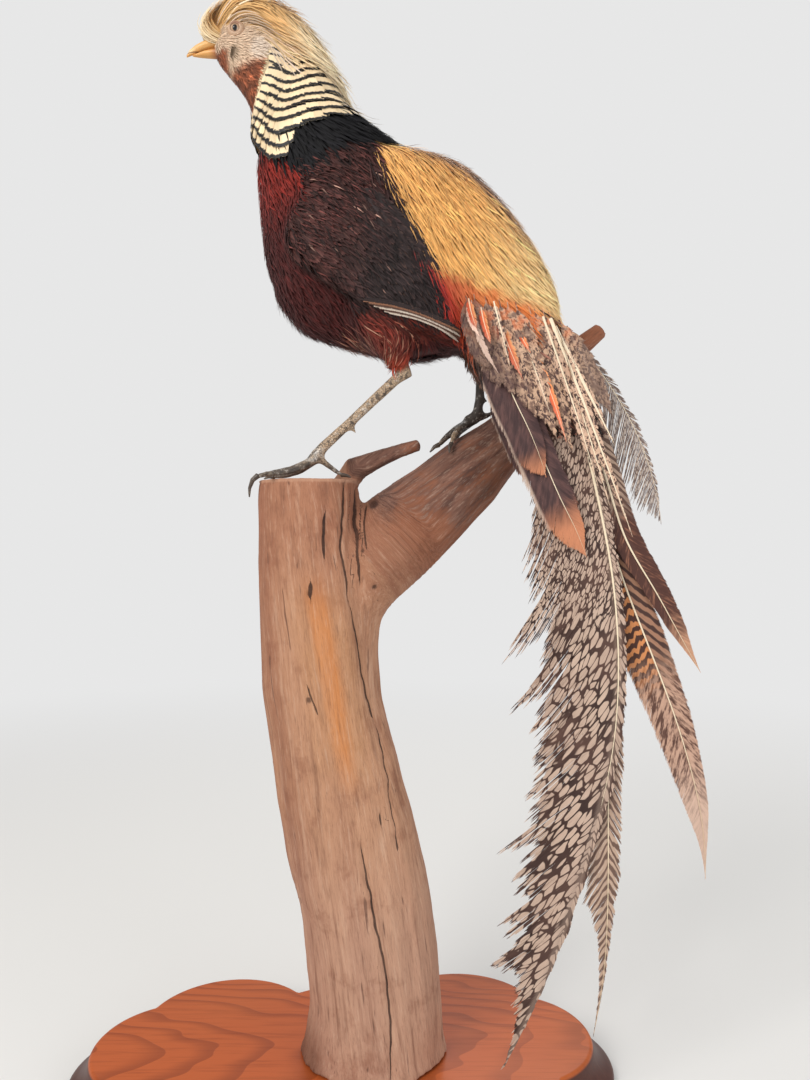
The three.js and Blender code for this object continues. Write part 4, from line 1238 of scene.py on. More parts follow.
def barbed(name, shafts, halves, barbs, lean, tint, rings=4, girth=0.35 * MM, fray=0.08, clump=0.0, lift=0.0,
           first=0.06, reach=None, seed=0, overlap=1.25, thick=0.3, shaft_reach=1.0):
    """Feathers with barbs on both sides of their shafts, as one mesh of closed blades.

    halves are the barbs' lengths aside on the right and the left; lean and reach give a barb's
    angle and share of its length by its place on the shaft."""
    draw = np.random.default_rng(seed)
    widest = np.maximum(halves[0], halves[1])
    tip_long = widest / np.sin(lean(np.array([0.0])))[0]
    if reach is not None:
        tip_long = tip_long * reach(np.array([1.0]))[0]
    whole = shafts.long + tip_long
    meshes = []
    steps = 1 - (1 - np.linspace(0, 1, rings)[None]) ** 1.8
    for side, half in zip((1, -1), halves):
        owner = np.repeat(np.arange(shafts.count), barbs)
        share = np.tile(np.linspace(first, 1, barbs), shafts.count)
        share = np.clip(share + draw.normal(0, 0.15 / barbs, len(share)), 0, 1)
        angle = lean(share) * (1 + draw.normal(0, 0.006, len(share)))
        length = half[owner] / math.sin(lean(np.array([0.0]))[0]) * (1 + draw.normal(0, fray * 0.6, len(share)))
        if reach is not None:
            length = length * reach(share)
        length = length * np.clip(0.45 + share * 5, 0, 1)
        root = share * shafts.long[owner]
        sizes = draw.integers(3, 14, len(share))
        ends = np.cumsum(sizes)
        group = np.searchsorted(ends, np.arange(len(share)), side="right")
        firsts = np.concatenate([[0], ends])[group]
        middle = np.minimum(firsts + sizes[group] // 2, len(share) - 1)
        pull = (root[middle] - root) * clump * (owner[middle] == owner)
        float_up = draw.normal(0, 1, len(ends) + 1)[group] * lift
        angle = angle * (1 + draw.normal(0, 0.2, len(ends) + 1)[group] * clump * 0.1)
        length = length * (1 + draw.normal(0, fray * 0.8, len(ends) + 1)[group])
        lateral = side * (np.sin(angle) * length)[:, None] * steps ** 0.92
        along = root[:, None] + (np.cos(angle) * length)[:, None] * steps ** 1.15 + pull[:, None] * steps ** 1.5
        pitch = shafts.long[owner] / barbs * np.sin(angle) * overlap / 2
        width = pitch[:, None] * (1 - np.clip((steps - 0.7) / 0.3, 0, 1) * 0.3)
        meshes.append(shafts.spread(name, owner, lateral, along, float_up[:, None] * steps ** 2, width,
                                    width * thick, widest, whole, tint))
    meshes.append(shafts.quills(name, girth, whole, tint, widest, shaft_reach))
    return joined_meshes(name, meshes)


def fingered(name, shafts, half, fingers, blunt, tint, rings=7, seed=0, waist=0.4, thick=0.12, ragged=0.02,
             slant=0.0):
    """Feathers whose vane is a few long fingers side by side, each with its own strip of the maps.

    blunt rounds the end of the vane; slant tilts it, as a length along for each length aside."""
    draw = np.random.default_rng(seed)
    owner = np.repeat(np.arange(shafts.count), fingers)
    across = np.tile(np.linspace(-1, 1, fingers) * (1 - 1 / fingers), shafts.count)
    share = 1 - (1 - np.linspace(0, 1, rings)[None]) ** 1.5
    ends = 1 - blunt * across ** 2 + draw.normal(0, ragged, len(across))
    tilt = np.broadcast_to(slant, shafts.count)[owner] * across * half[owner]
    along = share * (ends * shafts.long[owner] + tilt)[:, None]
    spread = np.clip(waist + 2.2 * share, 0, 1) * half[owner][:, None]
    lateral = across[:, None] * spread
    width = spread / fingers * 1.45 * np.where(share > 0.9, 0.75, 1.0)
    height = -0.25 * MM * np.abs(across)[:, None] * np.ones_like(share)
    flat = np.stack([across[:, None] * np.ones_like(share), share * np.ones_like(lateral)], axis=-1)
    aside = np.broadcast_to(np.array([0.9 / fingers, 0.0]), flat.shape)
    return shafts.spread(name, owner, lateral, along, height, width, width * thick, half, shafts.long, tint,
                         flat, aside)


def neck_ring(level, turns, front_rise):
    """Places round the neck at a height; a turn of 0 is the front. The ring rises there and at the nape."""
    roots = []
    for turn in turns:
        angle = turn * math.tau
        from_front = min(turn % 1, 1 - turn % 1)
        rise = front_rise * max(0.0, 1 - from_front / 0.2) ** 1.4
        rise += NAPE_RISE * max(0.0, from_front - 0.25) * 4
        height = level + rise
        middle_y = HEAD_MID_Y * MM * min(max((height - 0.735) / 0.05, 0), 1)
        centre = Vector((CAPE_CENTRE_X, middle_y, height))
        way = Vector((-math.cos(angle), -math.sin(angle), 0))
        hit = skin_tree.ray_cast(centre + way * 0.12, -way)[0]
        if hit is not None:
            roots.append(hit)
    return np.array(roots)


def hanging(points):
    """Straight down, a little back at the sides."""
    return np.tile(np.array([0.06, 0.0, -1.0]), (len(points), 1))


cape_spines = []
cape_outs = []
cape_slants = []
cape_draw = np.random.default_rng(41)
for row in range(CAPE_ROWS):
    part = row / (CAPE_ROWS - 1)
    level = (CAPE_BARS[0] + (CAPE_BARS[1] - CAPE_BARS[0]) * part) * MM
    turns = (np.arange(CAPE_AROUND) + 0.5 * (row % 2)) / CAPE_AROUND
    turns = turns + cape_draw.normal(0, 0.002, CAPE_AROUND)
    roots = neck_ring(level + CAPE_LENGTH * 0.93, turns, 34 * MM)
    long = CAPE_LENGTH * cape_draw.normal(1, 0.03, len(roots))
    lines, normals = laid(roots, hanging, long, CAPE_STEPS)
    ends = np.concatenate([lines[-1:, -1], lines[:, -1], lines[:1, -1]])
    run = ends[2:] - ends[:-2]
    ahead = unit(lines[:, -1] - lines[:, -2])
    right = np.cross(ahead, normals[:, -1])
    down = (run * ahead).sum(axis=1)
    aside = (run * right).sum(axis=1)
    slants = np.clip(down / np.where(np.abs(aside) > 1e-6, aside, 1e-6), -0.8, 0.8)
    bar_z = (roots[:, 2] - CAPE_LENGTH * 0.93) / MM
    kept = (roots[:, 0] / MM > np.interp(bar_z, *zip(*CAPE_FORE_EDGE)))
    kept &= roots[:, 0] / MM < np.interp(bar_z, *zip(*CAPE_REAR_EDGE))
    rise = np.linspace(0.4, 1.0, CAPE_STEPS + 1)[None] * CAPE_RISE * (0.55 + 0.85 * part)
    cape_spines.append(raised(lines, normals, np.broadcast_to(rise, lines.shape[:2]))[kept])
    cape_outs.append(normals[kept])
    cape_slants.append(slants[kept])
cape_spines = np.concatenate(cape_spines)
cape_outs = np.concatenate(cape_outs)
cape_count = len(cape_spines)
cape_half = CAPE_HALF * cape_draw.normal(1, 0.06, cape_count)
cape_tint = varied(np.tile(np.array(CREAM, dtype=float), (cape_count, 1)), 42, 0.04)
cape_shafts = Shafts(cape_spines, cape_outs, bend=NECK_BEND)
cape_mesh = fingered("cape_feathers", cape_shafts, cape_half, 11, 0.05, cape_tint, rings=9, seed=43,
                     slant=np.concatenate(cape_slants))
cape = Finish("barred_cape", Roughness=0.55)
cape_over, cape_along = cape.vane()
cape_lot = cape.attribute("lot")
cape_wave = cape.noise(cape.joined(cape_over * 1.5 + cape_lot * 3.0, cape_along, 0.0), 3.5, 3.0, 0.7)
cape_edge = cape_along + (cape_wave - 0.5) * 0.05
cape_bar = cape_edge.between(0.85, 0.87) * cape_edge.between(1.0, 0.98)
cape_bar = cape_bar + cape_edge.between(0.43, 0.45) * cape_edge.between(0.57, 0.55)
cape.feed("Base Color", cape.layered(
    cape.attribute("tint", "Color"),
    (cape_wave.between(0.45, 0.8) * 0.3, (196, 150, 100)),
    (cape_bar, (17, 16, 20)),
))
cape.bump(cape_wave, 0.0003, 0.4)
feathered("cape_feathers", cape_mesh, cape, "cape_feathers")

# ---------------------------------------------------------------- crest
# Long golden silk springs from the crown, lies back over the head and falls down the nape, paler
# towards its ends; the front tuft springs forward over the bill, then curls up and back.
CREST_AXIS_MM = ((-112, 812), (-104, 824), (-92, 836), (-76, 838), (-58, 828), (-40, 808), (-24, 784),
                 (-10, 762), (4, 738))
crest_axis = np.array(CREST_AXIS_MM, dtype=float) * MM


def crest_lie(points):
    """Back along the crest's own arch."""
    return along_axis(points, crest_axis, 0.008)


crest_mesh = soft_coat("crest_coat", ["crest"], 1.5 * MM, 46 * MM, 0.45 * MM, 9, 4.2 * MM, 51, lie=crest_lie,
                       sway=0.09, spread=0.09, curl=8 * MM)
silk_plume = plumage("golden_crest", root_shade=0.0, streak=0.06, sheen=0.15)
# the tuft over the bill: its foremost and rearmost hair in side view, which the others lie between;
# stray hairs stand off the top of the crest
TUFT_HAIRS = 760
STRAY_HAIRS = 46
TUFT_STATIONS = 10
TUFT_KNOTS = (((-96, 797), (-107, 800), (-113, 808), (-107, 820), (-90, 834)),
              ((-92, 803), (-100, 810), (-104, 818), (-98, 828), (-80, 838)))
tuft_draw = np.random.default_rng(52)
tuft_share = tuft_draw.random(TUFT_HAIRS)
tuft_reach = tuft_draw.uniform(0.55, 1.0, TUFT_HAIRS)
tuft_y = tuft_draw.normal(0, 1, TUFT_HAIRS)
tuft_steps = np.linspace(0, 1, TUFT_STATIONS)


def flat_along(knots, spots):
    """Places of the side view at these spots along knots, which lie at the spots 0, 1, 2 and so on."""
    return np.stack([np.interp(spots, np.arange(len(knots)), knots[:, axis]) for axis in (0, 1)], axis=1)


tuft_lines = []
for share, reach, aside in zip(tuft_share, tuft_reach, tuft_y):
    knots = np.array(TUFT_KNOTS[0]) * (1 - share) + np.array(TUFT_KNOTS[1]) * share
    flat = flat_along(knots, np.linspace(0, (len(knots) - 1) * reach, TUFT_STATIONS))
    flat[1:-1] = (flat[:-2] + flat[1:-1] * 2 + flat[2:]) / 4
    across = HEAD_MID_Y + aside * (2.6 + 1.6 * tuft_steps)
    tuft_lines.append(np.stack([flat[:, 0], across, flat[:, 1]], axis=1))
for start in tuft_draw.uniform(3.2, 6.2, STRAY_HAIRS):
    flat = flat_along(crest_axis / MM, start + np.linspace(0, 1.5, TUFT_STATIONS))
    lifted = 5.0 + tuft_steps * tuft_draw.uniform(2.0, 9.0)
    flat += lifted[:, None] * np.array([0.72, 0.69])
    across = HEAD_MID_Y + np.linspace(1, 2, TUFT_STATIONS) * tuft_draw.normal(0, 2.5)
    tuft_lines.append(np.stack([flat[:, 0], across, flat[:, 1]], axis=1))
hair_count = TUFT_HAIRS + STRAY_HAIRS
tuft_share = np.concatenate([tuft_share, np.full(STRAY_HAIRS, 0.3)])
tuft_y = np.concatenate([tuft_y, np.zeros(STRAY_HAIRS)])
tuft_lines = np.array(tuft_lines) * MM
tuft_lines += tuft_draw.normal(0, 0.9 * MM, (hair_count, 1, 3)) * np.array([1.0, 0.3, 1.0])
tuft_ahead = unit(np.gradient(tuft_lines, axis=1))
tuft_across = np.broadcast_to(tuft_y[:, None] * 0.7, tuft_ahead.shape[:2])
tuft_outs = unit(np.stack([-tuft_ahead[..., 2], tuft_across, tuft_ahead[..., 0]], axis=-1))
tuft_width = 0.4 * MM * (0.7 + 0.8 * tuft_steps - 1.3 * tuft_steps ** 3)[None]
tuft_tint = varied(blend_tint(tuft_share * 1.1, CREST_PALE, CREST_GOLD), 53, 0.05)
tuft_column = 0.001 + 0.99 * (np.arange(hair_count) / hair_count)
tuft_patch = np.stack([tuft_column, np.full(hair_count, 0.004)], axis=1)
tuft_patch = np.repeat(tuft_patch[:, None], TUFT_STATIONS, axis=1)
tuft_vane = np.stack([np.zeros(TUFT_STATIONS), tuft_steps], axis=1)
tuft_vane = np.broadcast_to(tuft_vane, (hair_count, TUFT_STATIONS, 2))
tuft_mesh = blades("crest_tuft", tuft_lines, tuft_outs, tuft_width, tuft_width * 0.4, tuft_tint, tuft_vane,
                   np.broadcast_to(np.array([1.0, 0.0]), tuft_vane.shape),
                   tuft_patch + (tuft_vane * (0.5, 1) - (0, 0.5)) * BAKE_PATCH,
                   np.broadcast_to(np.array([0.5 * BAKE_PATCH, 0.0]), tuft_vane.shape))
crest_mesh = joined_meshes("crest_coat", [crest_mesh, tuft_mesh])
feathered("crest_coat", crest_mesh, silk_plume, "crest_feathers")

# ---------------------------------------------------------------- face
# Very short cream feathers on the cheeks, a whiter ear patch, and a rusty throat; they grow back and
# down from the bill and leave the eyes and the bare spots free.
BILL_ROOT = (-0.106, 0.802)


def face_lie(points):
    return fanned(points, BILL_ROOT, (0.25, 0.0, -0.25))


def off_the_eyes(points):
    away = np.hypot(points[:, 0] / MM - EYE_MIDDLE[0], points[:, 2] / MM - EYE_MIDDLE[1])
    spot = np.hypot((points[:, 0] / MM - BARE_SPOT[0]) / 2.4, (points[:, 2] / MM - BARE_SPOT[1]) / 3.8)
    return (away > 6.2) & (spot > 1) & (points[:, 0] / MM > -101)


face_mesh = soft_coat("face_coat", ["head"], 0.9 * MM, 5.0 * MM, 0.33 * MM, 4, 1.5 * MM, 61, lie=face_lie,
                      wanted=off_the_eyes, sway=0.14, spread=0.05)
face_plume = plumage("face_down", root_shade=0.0, streak=0.04, sheen=0.1)
feathered("face_coat", face_mesh, face_plume, "face_feathers")

# ---------------------------------------------------------------- wings
# Folded wings, covered in rows of small rounded maroon-brown feathers that turn blackish to the rear.
# The long flight feathers lie under them along the wing; the lowest show a buff and white edge.
WING_SPACING = 5.0 * MM
COVERT_LENGTH = 19 * MM
COVERT_HALF = 4.6 * MM
WING_ZONES = ["wing_left", "wing_right", "wing_over"]
WHITE_VANE = (206, 190, 174)
BUFF_VANE = (142, 98, 74)
DARK_VANE = (92, 66, 54)
PALE_FLECK = (156, 120, 106)


def wing_lie(points):
    """Down the wing, steeper along its rear edge."""
    x = points[:, 0] / MM
    rear = np.clip((x + 0.35 * (points[:, 2] / MM - 620) + 10) / 60, 0, 1)
    angle = np.radians(40 + 18 * rear)
    return np.stack([np.cos(angle), np.zeros(len(points)), -np.sin(angle)], axis=1)


def lengthwise(roots, lie, long, stations, rise, seed, sway=0.05):
    """Shafts that lie on the skin from their roots and rise through the coat."""
    lines, normals = laid(roots, lie, long, stations - 1, sway=sway, seed=seed)
    share = np.linspace(0, 1, stations)[None]
    draw = np.random.default_rng(seed)
    height = (rise[0] + (rise[1] - rise[0]) * share) * draw.uniform(0.85, 1.15, (len(roots), 1))
    return raised(lines, normals, height), normals


covert_roots = sow(WING_ZONES, WING_SPACING, 71)
covert_roots = covert_roots[np.argsort(covert_roots[:, 2])]
covert_draw = np.random.default_rng(72)
covert_count = len(covert_roots)
covert_long = COVERT_LENGTH * covert_draw.uniform(0.85, 1.2, covert_count)
covert_lines, covert_outs = lengthwise(covert_roots, wing_lie, covert_long, 7, (0.6 * MM, 4.0 * MM), 73)
covert_half = COVERT_HALF * covert_draw.uniform(0.85, 1.15, covert_count)
covert_tint = varied(coat_tint(covert_roots, np.full(covert_count, "wing_left")), 74, 0.12)
covert_mesh = fingered("wing_coverts", Shafts(covert_lines, covert_outs, bend=6.0), covert_half, 7, 0.42,
                       covert_tint, rings=5, seed=75, waist=0.35)
wing_plume = Finish("wing_feather", Roughness=0.6, Specular_IOR_Level=0.22)
wing_over_vane, wing_along = wing_plume.vane()
wing_lot = wing_plume.attribute("lot")
wing_barb = wing_plume.joined(wing_along * 4.0 - abs(wing_over_vane) * 0.7 + wing_lot * 9.0,
                              wing_over_vane * 0.4, wing_lot)
wing_barb = wing_plume.noise(wing_barb, 9.0, 3.0, 0.75)
wing_pale = (abs(wing_over_vane) + wing_along * 0.4).between(0.85, 1.25) * wing_lot.between(0.2, 0.9)
wing_plume.feed("Base Color", wing_plume.layered(
    wing_plume.attribute("tint", "Color"),
    (wing_barb.between(0.4, 0.75) * 0.4, (20, 15, 15)),
    (wing_pale * 0.13, (170, 130, 110)),
    (abs(wing_over_vane).between(0.06, 0.02) * 0.2, (140, 100, 84)),
))
wing_plume.feed("Roughness", 0.42 + wing_barb * 0.35)
wing_plume.bump(wing_barb, 0.0005, 0.6)
feathered("wing_coverts", covert_mesh, wing_plume, "wing_feathers")


def wing_down_tint(roots):
    """The wing's own colour, with a few pale flecks in its front part."""
    draw = np.random.default_rng(81)
    tint = coat_tint(roots, np.full(len(roots), "wing_left"))
    forward = (roots[:, 0] / MM < 30) & (draw.random(len(roots)) < 0.012)
    tint[forward] = np.array(PALE_FLECK)
    return tint


wing_down = soft_coat("wing_down", WING_ZONES, 1.7 * MM, 15 * MM, 0.55 * MM, 5, 5.0 * MM, 82, lie=wing_lie,
                      sway=0.2, spread=0.2, tinted=wing_down_tint)
down_plume = plumage("wing_down", root_shade=0.15, streak=0.15)
feathered("wing_down", wing_down, down_plume, "wing_feathers")

# roots and tips of the flight feathers in side view, in millimetres: first and last of each fan
SECONDARIES = 9
SECONDARY_ROOTS = ((12, 664), (-14, 606))
SECONDARY_TIPS = ((64, 612), (80, 566))
PRIMARIES = 6
PRIMARY_ROOTS = ((14, 585), (32, 576))
PRIMARY_TIPS = ((84, 566), (84, 561))


def fan(count, roots, tips):
    """Where the feathers of one row start and end in side view, in metres."""
    share = np.linspace(0, 1, count)[:, None]
    starts = np.array(roots[0]) * (1 - share) + np.array(roots[1]) * share
    ends = np.array(tips[0]) * (1 - share) + np.array(tips[1]) * share
    return starts * MM, ends * MM


def flight(count, roots, tips, side, stations, rise):
    """Shafts of long feathers from one row of places to another on a side of the body."""
    starts, ends = fan(count, roots, tips)
    share = np.linspace(0, 1, stations)
    places = []
    normals = []
    for start, end in zip(starts, ends):
        for part in share:
            flat = start * (1 - part) + end * part
            flat = flat + np.array([0.25, 1.0]) * math.sin(part * math.pi) * 2.5 * MM
            origin = Vector((flat[0], side * 0.12, flat[1]))
            hit, normal = skin_tree.ray_cast(origin, Vector((0, -side, 0)))[:2]
            if hit is None:
                hit = (flat[0], places[-1][1], flat[1])
                normal = normals[-1]
            places.append(np.array(hit))
            normals.append(np.array(normal))
    lines = np.array(places).reshape(count, stations, 3)
    outs = unit(np.array(normals).reshape(count, stations, 3) + np.array([0, side * 1.5, 0]))
    order = np.arange(count)[:, None] / count
    height = rise[0] + (rise[1] - rise[0]) * order + 0.8 * MM * share[None]
    lines = evened_line(lines)
    return lines + outs * height[..., None], outs


def evened_line(lines):
    """Softens bends along each line of places."""
    for _ in range(3):
        lines[:, 1:-1] = (lines[:, :-2] + 2 * lines[:, 1:-1] + lines[:, 2:]) / 4
    return lines


flight_meshes = []
flight_cells = math.ceil(math.sqrt(2 * (SECONDARIES + PRIMARIES)))
secondary_half = np.full(SECONDARIES, 7 * MM)
primary_half = np.full(PRIMARIES, 1.35 * MM)
for side in (-1, 1):
    first = (SECONDARIES + PRIMARIES) * (side > 0)
    lines, outs = flight(SECONDARIES, SECONDARY_ROOTS, SECONDARY_TIPS, side, 12, (3.4 * MM, 1.6 * MM))
    shafts = Shafts(lines, outs, 2.0, first, flight_cells)
    tint = varied(np.tile(np.array(WING_BLACK, dtype=float), (SECONDARIES, 1)), 76, 0.1)
    flight_meshes.append(barbed("secondaries", shafts, (secondary_half, secondary_half), 60,
                                tip_fan(0.85, 40, 8), tint, fray=0.03, clump=0.25, seed=77, overlap=1.6))
    lines, outs = flight(PRIMARIES, PRIMARY_ROOTS, PRIMARY_TIPS, side, 10, (6.5 * MM, 6.0 * MM))
    shafts = Shafts(lines, outs, 2.0, first + SECONDARIES, flight_cells)
    tint = np.array([WING_BLACK, BUFF_VANE, DARK_VANE, WHITE_VANE, DARK_VANE, WHITE_VANE], dtype=float)
    flight_meshes.append(barbed("primaries", shafts, (primary_half, primary_half), 45,
                                tip_fan(0.85, 32, 8), tint, fray=0.03, seed=78, overlap=1.6))
flight_mesh = joined_meshes("flight_feathers", flight_meshes)
feathered("flight_feathers", flight_mesh, wing_plume, "wing_feathers")

# ---------------------------------------------------------------- tail
# Long stiff feathers hang down and fan backwards, one behind the other: short brown ones at the
# sides, two very long netted ones in the middle, and barred ones that stand off behind the log.
TAIL_STATIONS = 60
TAIL_TOP = 570
TAIL_BEND = 3.0
BARB_LEAN = 34
CREAM_SHAFT = (240, 222, 192)


def tail_middle(z):
    """Y of the tail's middle plane at a height, in millimetres."""
    return -23 - 40 * (TAIL_TOP - z) / 530


def curve_through(knots, stations):
    """Places spaced evenly along a smooth curve through flat knots."""
    knots = np.array(knots, dtype=float)
    gaps = np.concatenate([[0], np.cumsum(np.linalg.norm(np.diff(knots, axis=0), axis=1))])
    spots = np.linspace(0, gaps[-1], stations)
    line = np.stack([np.interp(spots, gaps, knots[:, axis]) for axis in (0, 1)], axis=1)[None]
    for _ in range(8):
        line = evened_line(line)
    return line[0]


def tail_shaft(knots, layer, stations=TAIL_STATIONS):
    """The shaft of one tail feather through knots of the side view, a layer's distance off the middle."""
    line = curve_through(knots, stations)
    side = -1 if layer < 0 else 1
    slant = side * 0.1 * np.maximum(0, 190 - line[:, 0])
    y = tail_middle(line[:, 1]) + layer + slant
    spine = np.stack([line[:, 0], y, line[:, 1]], axis=1)[None] * MM
    outs = np.tile(np.array([0.0, -1.0, 0.0]), (1, stations, 1))
    return Shafts(spine, outs, bend=TAIL_BEND)


def vane_outline(tip, point, offset, waist=((0, 1), (1, 1))):
    """How wide a vane is by its barbs' places on the shaft, so that their ends draw its outline."""
    def outline(share):
        rest = np.clip((1 - share) / tip, 0, 1)
        wide = np.minimum(1, 0.45 + 6 * share) * (1 - (1 - rest) ** 2) ** point
        return wide * np.interp(share, *zip(*waist))

    def reach(share):
        size = outline(share)
        for _ in range(8):
            size = (size + outline(np.minimum(share + offset * size, 1))) / 2
        return np.maximum(size, 0.04)
    return reach


def tail_feather(name, knots, layer, left, right, tip, point, tint, pitch, girth, tufts=(), clump=0.12,
                 fray=0.03, overlap=1.7, lift=0.0, rings=5, seed=0, waist=((0, 1), (1, 1)), bare=1.0):
    """One feather: its mesh, and its half width and length in millimetres.

    Each of the tufts is its place on the shaft, how much longer its barbs are, and how far they turn."""
    shafts = tail_shaft(knots, layer)
    long = shafts.long[0]
    widest = max(left, right) * MM
    offset = widest / math.tan(math.radians(BARB_LEAN)) / long
    outline = vane_outline(tip, point, offset, waist)
    fan_out = tip_fan(0.8, BARB_LEAN, 10)

    def reach(share):
        return outline(share) * (1 + sum(more * np.exp(-((share - at) / 0.016) ** 2) for at, more, _ in tufts))

    def angle(share):
        turn = sum(wide * np.exp(-((share - at) / 0.016) ** 2) for at, _, wide in tufts)
        return fan_out(share) + np.radians(turn)

    halves = (np.array([left * MM]), np.array([right * MM]))
    mesh = barbed(name, shafts, halves, int(long / pitch), angle, np.array([tint], dtype=float), rings=rings,
                  girth=girth, fray=fray, clump=clump, lift=lift, reach=reach, seed=seed, overlap=overlap,
                  thick=0.25, first=0.02, shaft_reach=bare)
    whole = long + widest / math.sin(math.radians(BARB_LEAN)) * reach(np.array([1.0]))[0]
    return mesh, widest / MM, whole / MM


def cells(made, x, y, size, wander, seed):
    """How far a place is from the edges of irregular cells, whose size is in millimetres."""
    shift = made.noise(made.joined(x * 0.09, y * 0.09, seed), 1.0, 2.0)
    spot = made.joined(x / size + shift * wander, y / size - shift * wander, seed)
    fed = {"Vector": spot, "Scale": 1.0, "Randomness": 0.9}
    edge = made.node("ShaderNodeTexVoronoi", {"feature": "DISTANCE_TO_EDGE"}, fed)
    middle = made.node("ShaderNodeTexVoronoi", {"feature": "F1"}, fed)
    return edge - (middle - 0.4) * 0.3


def tail_finish(name, widest, whole, pattern):
    """Material of a tail feather; the pattern is given places aside, along and by barb, in millimetres."""
    made = Finish(name, Roughness=0.5, Specular_IOR_Level=0.3)
    over, along = made.vane()
    aside = over * widest
    down = along * whole
    barb = down - abs(aside) / math.tan(math.radians(BARB_LEAN))
    thread = made.noise(made.joined(barb * 1.3, aside * 0.12, 0.0), 1.0, 3.0, 0.75)
    tone = pattern(made, aside, down, barb, along, thread)
    tone = made.mix(thread.between(0.45, 0.8) * 0.35, tone, linear(48, 32, 28))
    shaft = made.attribute("quill")
    pale = made.mix(along.between(0.55, 1.0) * 0.5, linear(*CREAM_SHAFT), linear(190, 150, 112))
    made.feed("Base Color", made.mix(shaft, tone, pale))
    made.feed("Roughness", 0.5 + thread * 0.2 - shaft * 0.2)
    made.bump(thread, 0.0004, 0.5)
    return made


def netted(size_high, size_low, change):
    def pattern(made, aside, down, barb, along, thread):
        high = cells(made, barb, aside * 1.2, size_high, 0.9, 3.0)
        low = cells(made, barb * 0.9, aside, size_low, 0.7, 5.0)
        spots = (high + (low - high) * along.between(change - 0.05, change + 0.05)).between(0.02, 0.09)
        shade = made.noise(made.joined(aside * 0.03, down * 0.03, 1.0), 1.0, 2.0)
        ground = made.mix(shade, linear(206, 180, 160), linear(172, 144, 128))
        near = (abs(aside) + (thread - 0.5) * 3).between(4.0, 1.0) * 0.35
        net = made.mix(shade.between(0.3, 0.7), linear(56, 37, 32), linear(88, 62, 53))
        return made.mix(near, made.mix(spots, net, ground), linear(166, 142, 126))
    return pattern


def browned(mottle, tip_from):
    def pattern(made, aside, down, barb, along, thread):
        cloud = made.noise(made.joined(barb * 0.16, aside * 0.1, 2.0), 1.0, 3.0, 0.65)
        tone = made.mix(cloud.between(0.35, 0.7), linear(62, 42, 42), linear(98, 68, 64))
        spots = cloud.between(0.56, 0.66) * along.between(mottle, mottle - 0.25)
        tone = made.mix(spots * 0.85, tone, linear(206, 172, 150))
        tip_share = (along + (cloud - 0.5) * 0.1).between(tip_from, tip_from + 0.2)
        tone = made.mix(tip_share, tone, linear(196, 128, 92))
        edge = aside.between(15.0, 17.2) * along.between(1.0, 0.6) * 0.7
        return made.mix(edge, tone, linear(214, 186, 166))
    return pattern


def barred(made, aside, down, barb, along, thread):
    wander = made.noise(made.joined(barb * 0.05, aside * 0.15, 4.0), 1.0, 2.0)
    cloud = made.noise(made.joined(barb * 0.22, aside * 0.14, 8.0), 1.0, 3.0, 0.7)
    wave = ((down + wander * 14.0 - aside * 0.4) * 0.8).sine()
    stripe = ((barb + wander * 9.0) * 0.62).sine()
    left = made.mix(wave.between(-0.1, 0.4), linear(72, 42, 32), linear(204, 134, 82))
    right = made.mix(stripe.between(-0.2, 0.5), linear(158, 116, 92), linear(70, 46, 40))
    tone = made.mix(aside.between(-0.2, 0.2), right, left)
    lower = made.mix(cloud.between(0.4, 0.56), linear(90, 60, 50), linear(190, 152, 130))
    tone = made.mix(along.between(0.5, 0.62), tone, lower)
    tone = made.mix((along + cloud * 0.2).between(0.82, 1.0) * 0.85, tone, linear(206, 176, 158))
    high = cells(made, barb, aside * 1.2, 3.4, 0.9, 3.0).between(0.0, 0.14)
    upper = made.mix(high, linear(60, 42, 38), linear(188, 158, 140))
    return made.mix(along.between(0.2, 0.3), upper, tone)


def striped(made, aside, down, barb, along, thread):
    wander = made.noise(made.joined(barb * 0.06, aside * 0.1, 6.0), 1.0, 2.0)
    stripe = ((barb + wander * 14.0) * 0.9).sine()
    return made.mix(stripe.between(-0.3, 0.4) * 0.85, linear(184, 156, 136), linear(84, 58, 50))


def dusky(made, aside, down, barb, along, thread):
    net = cells(made, barb, aside * 1.1, 2.6, 1.0, 9.0).between(0.02, 0.2)
    return made.mix(net, linear(112, 94, 86), linear(184, 166, 152))


def buff_tipped(made, aside, down, barb, along, thread):
    upper = striped(made, aside, down, barb, along, thread)
    cloud = made.noise(made.joined(barb * 0.3, aside * 0.1, 7.0), 1.0, 3.0, 0.7)
    lower = made.mix(cloud.between(0.5, 0.7), linear(78, 46, 38), linear(152, 102, 78))
    lower = made.mix((along + cloud * 0.2).between(0.88, 1.05), lower, linear(196, 148, 118))
    return made.mix(along.between(0.35, 0.5), upper, lower)


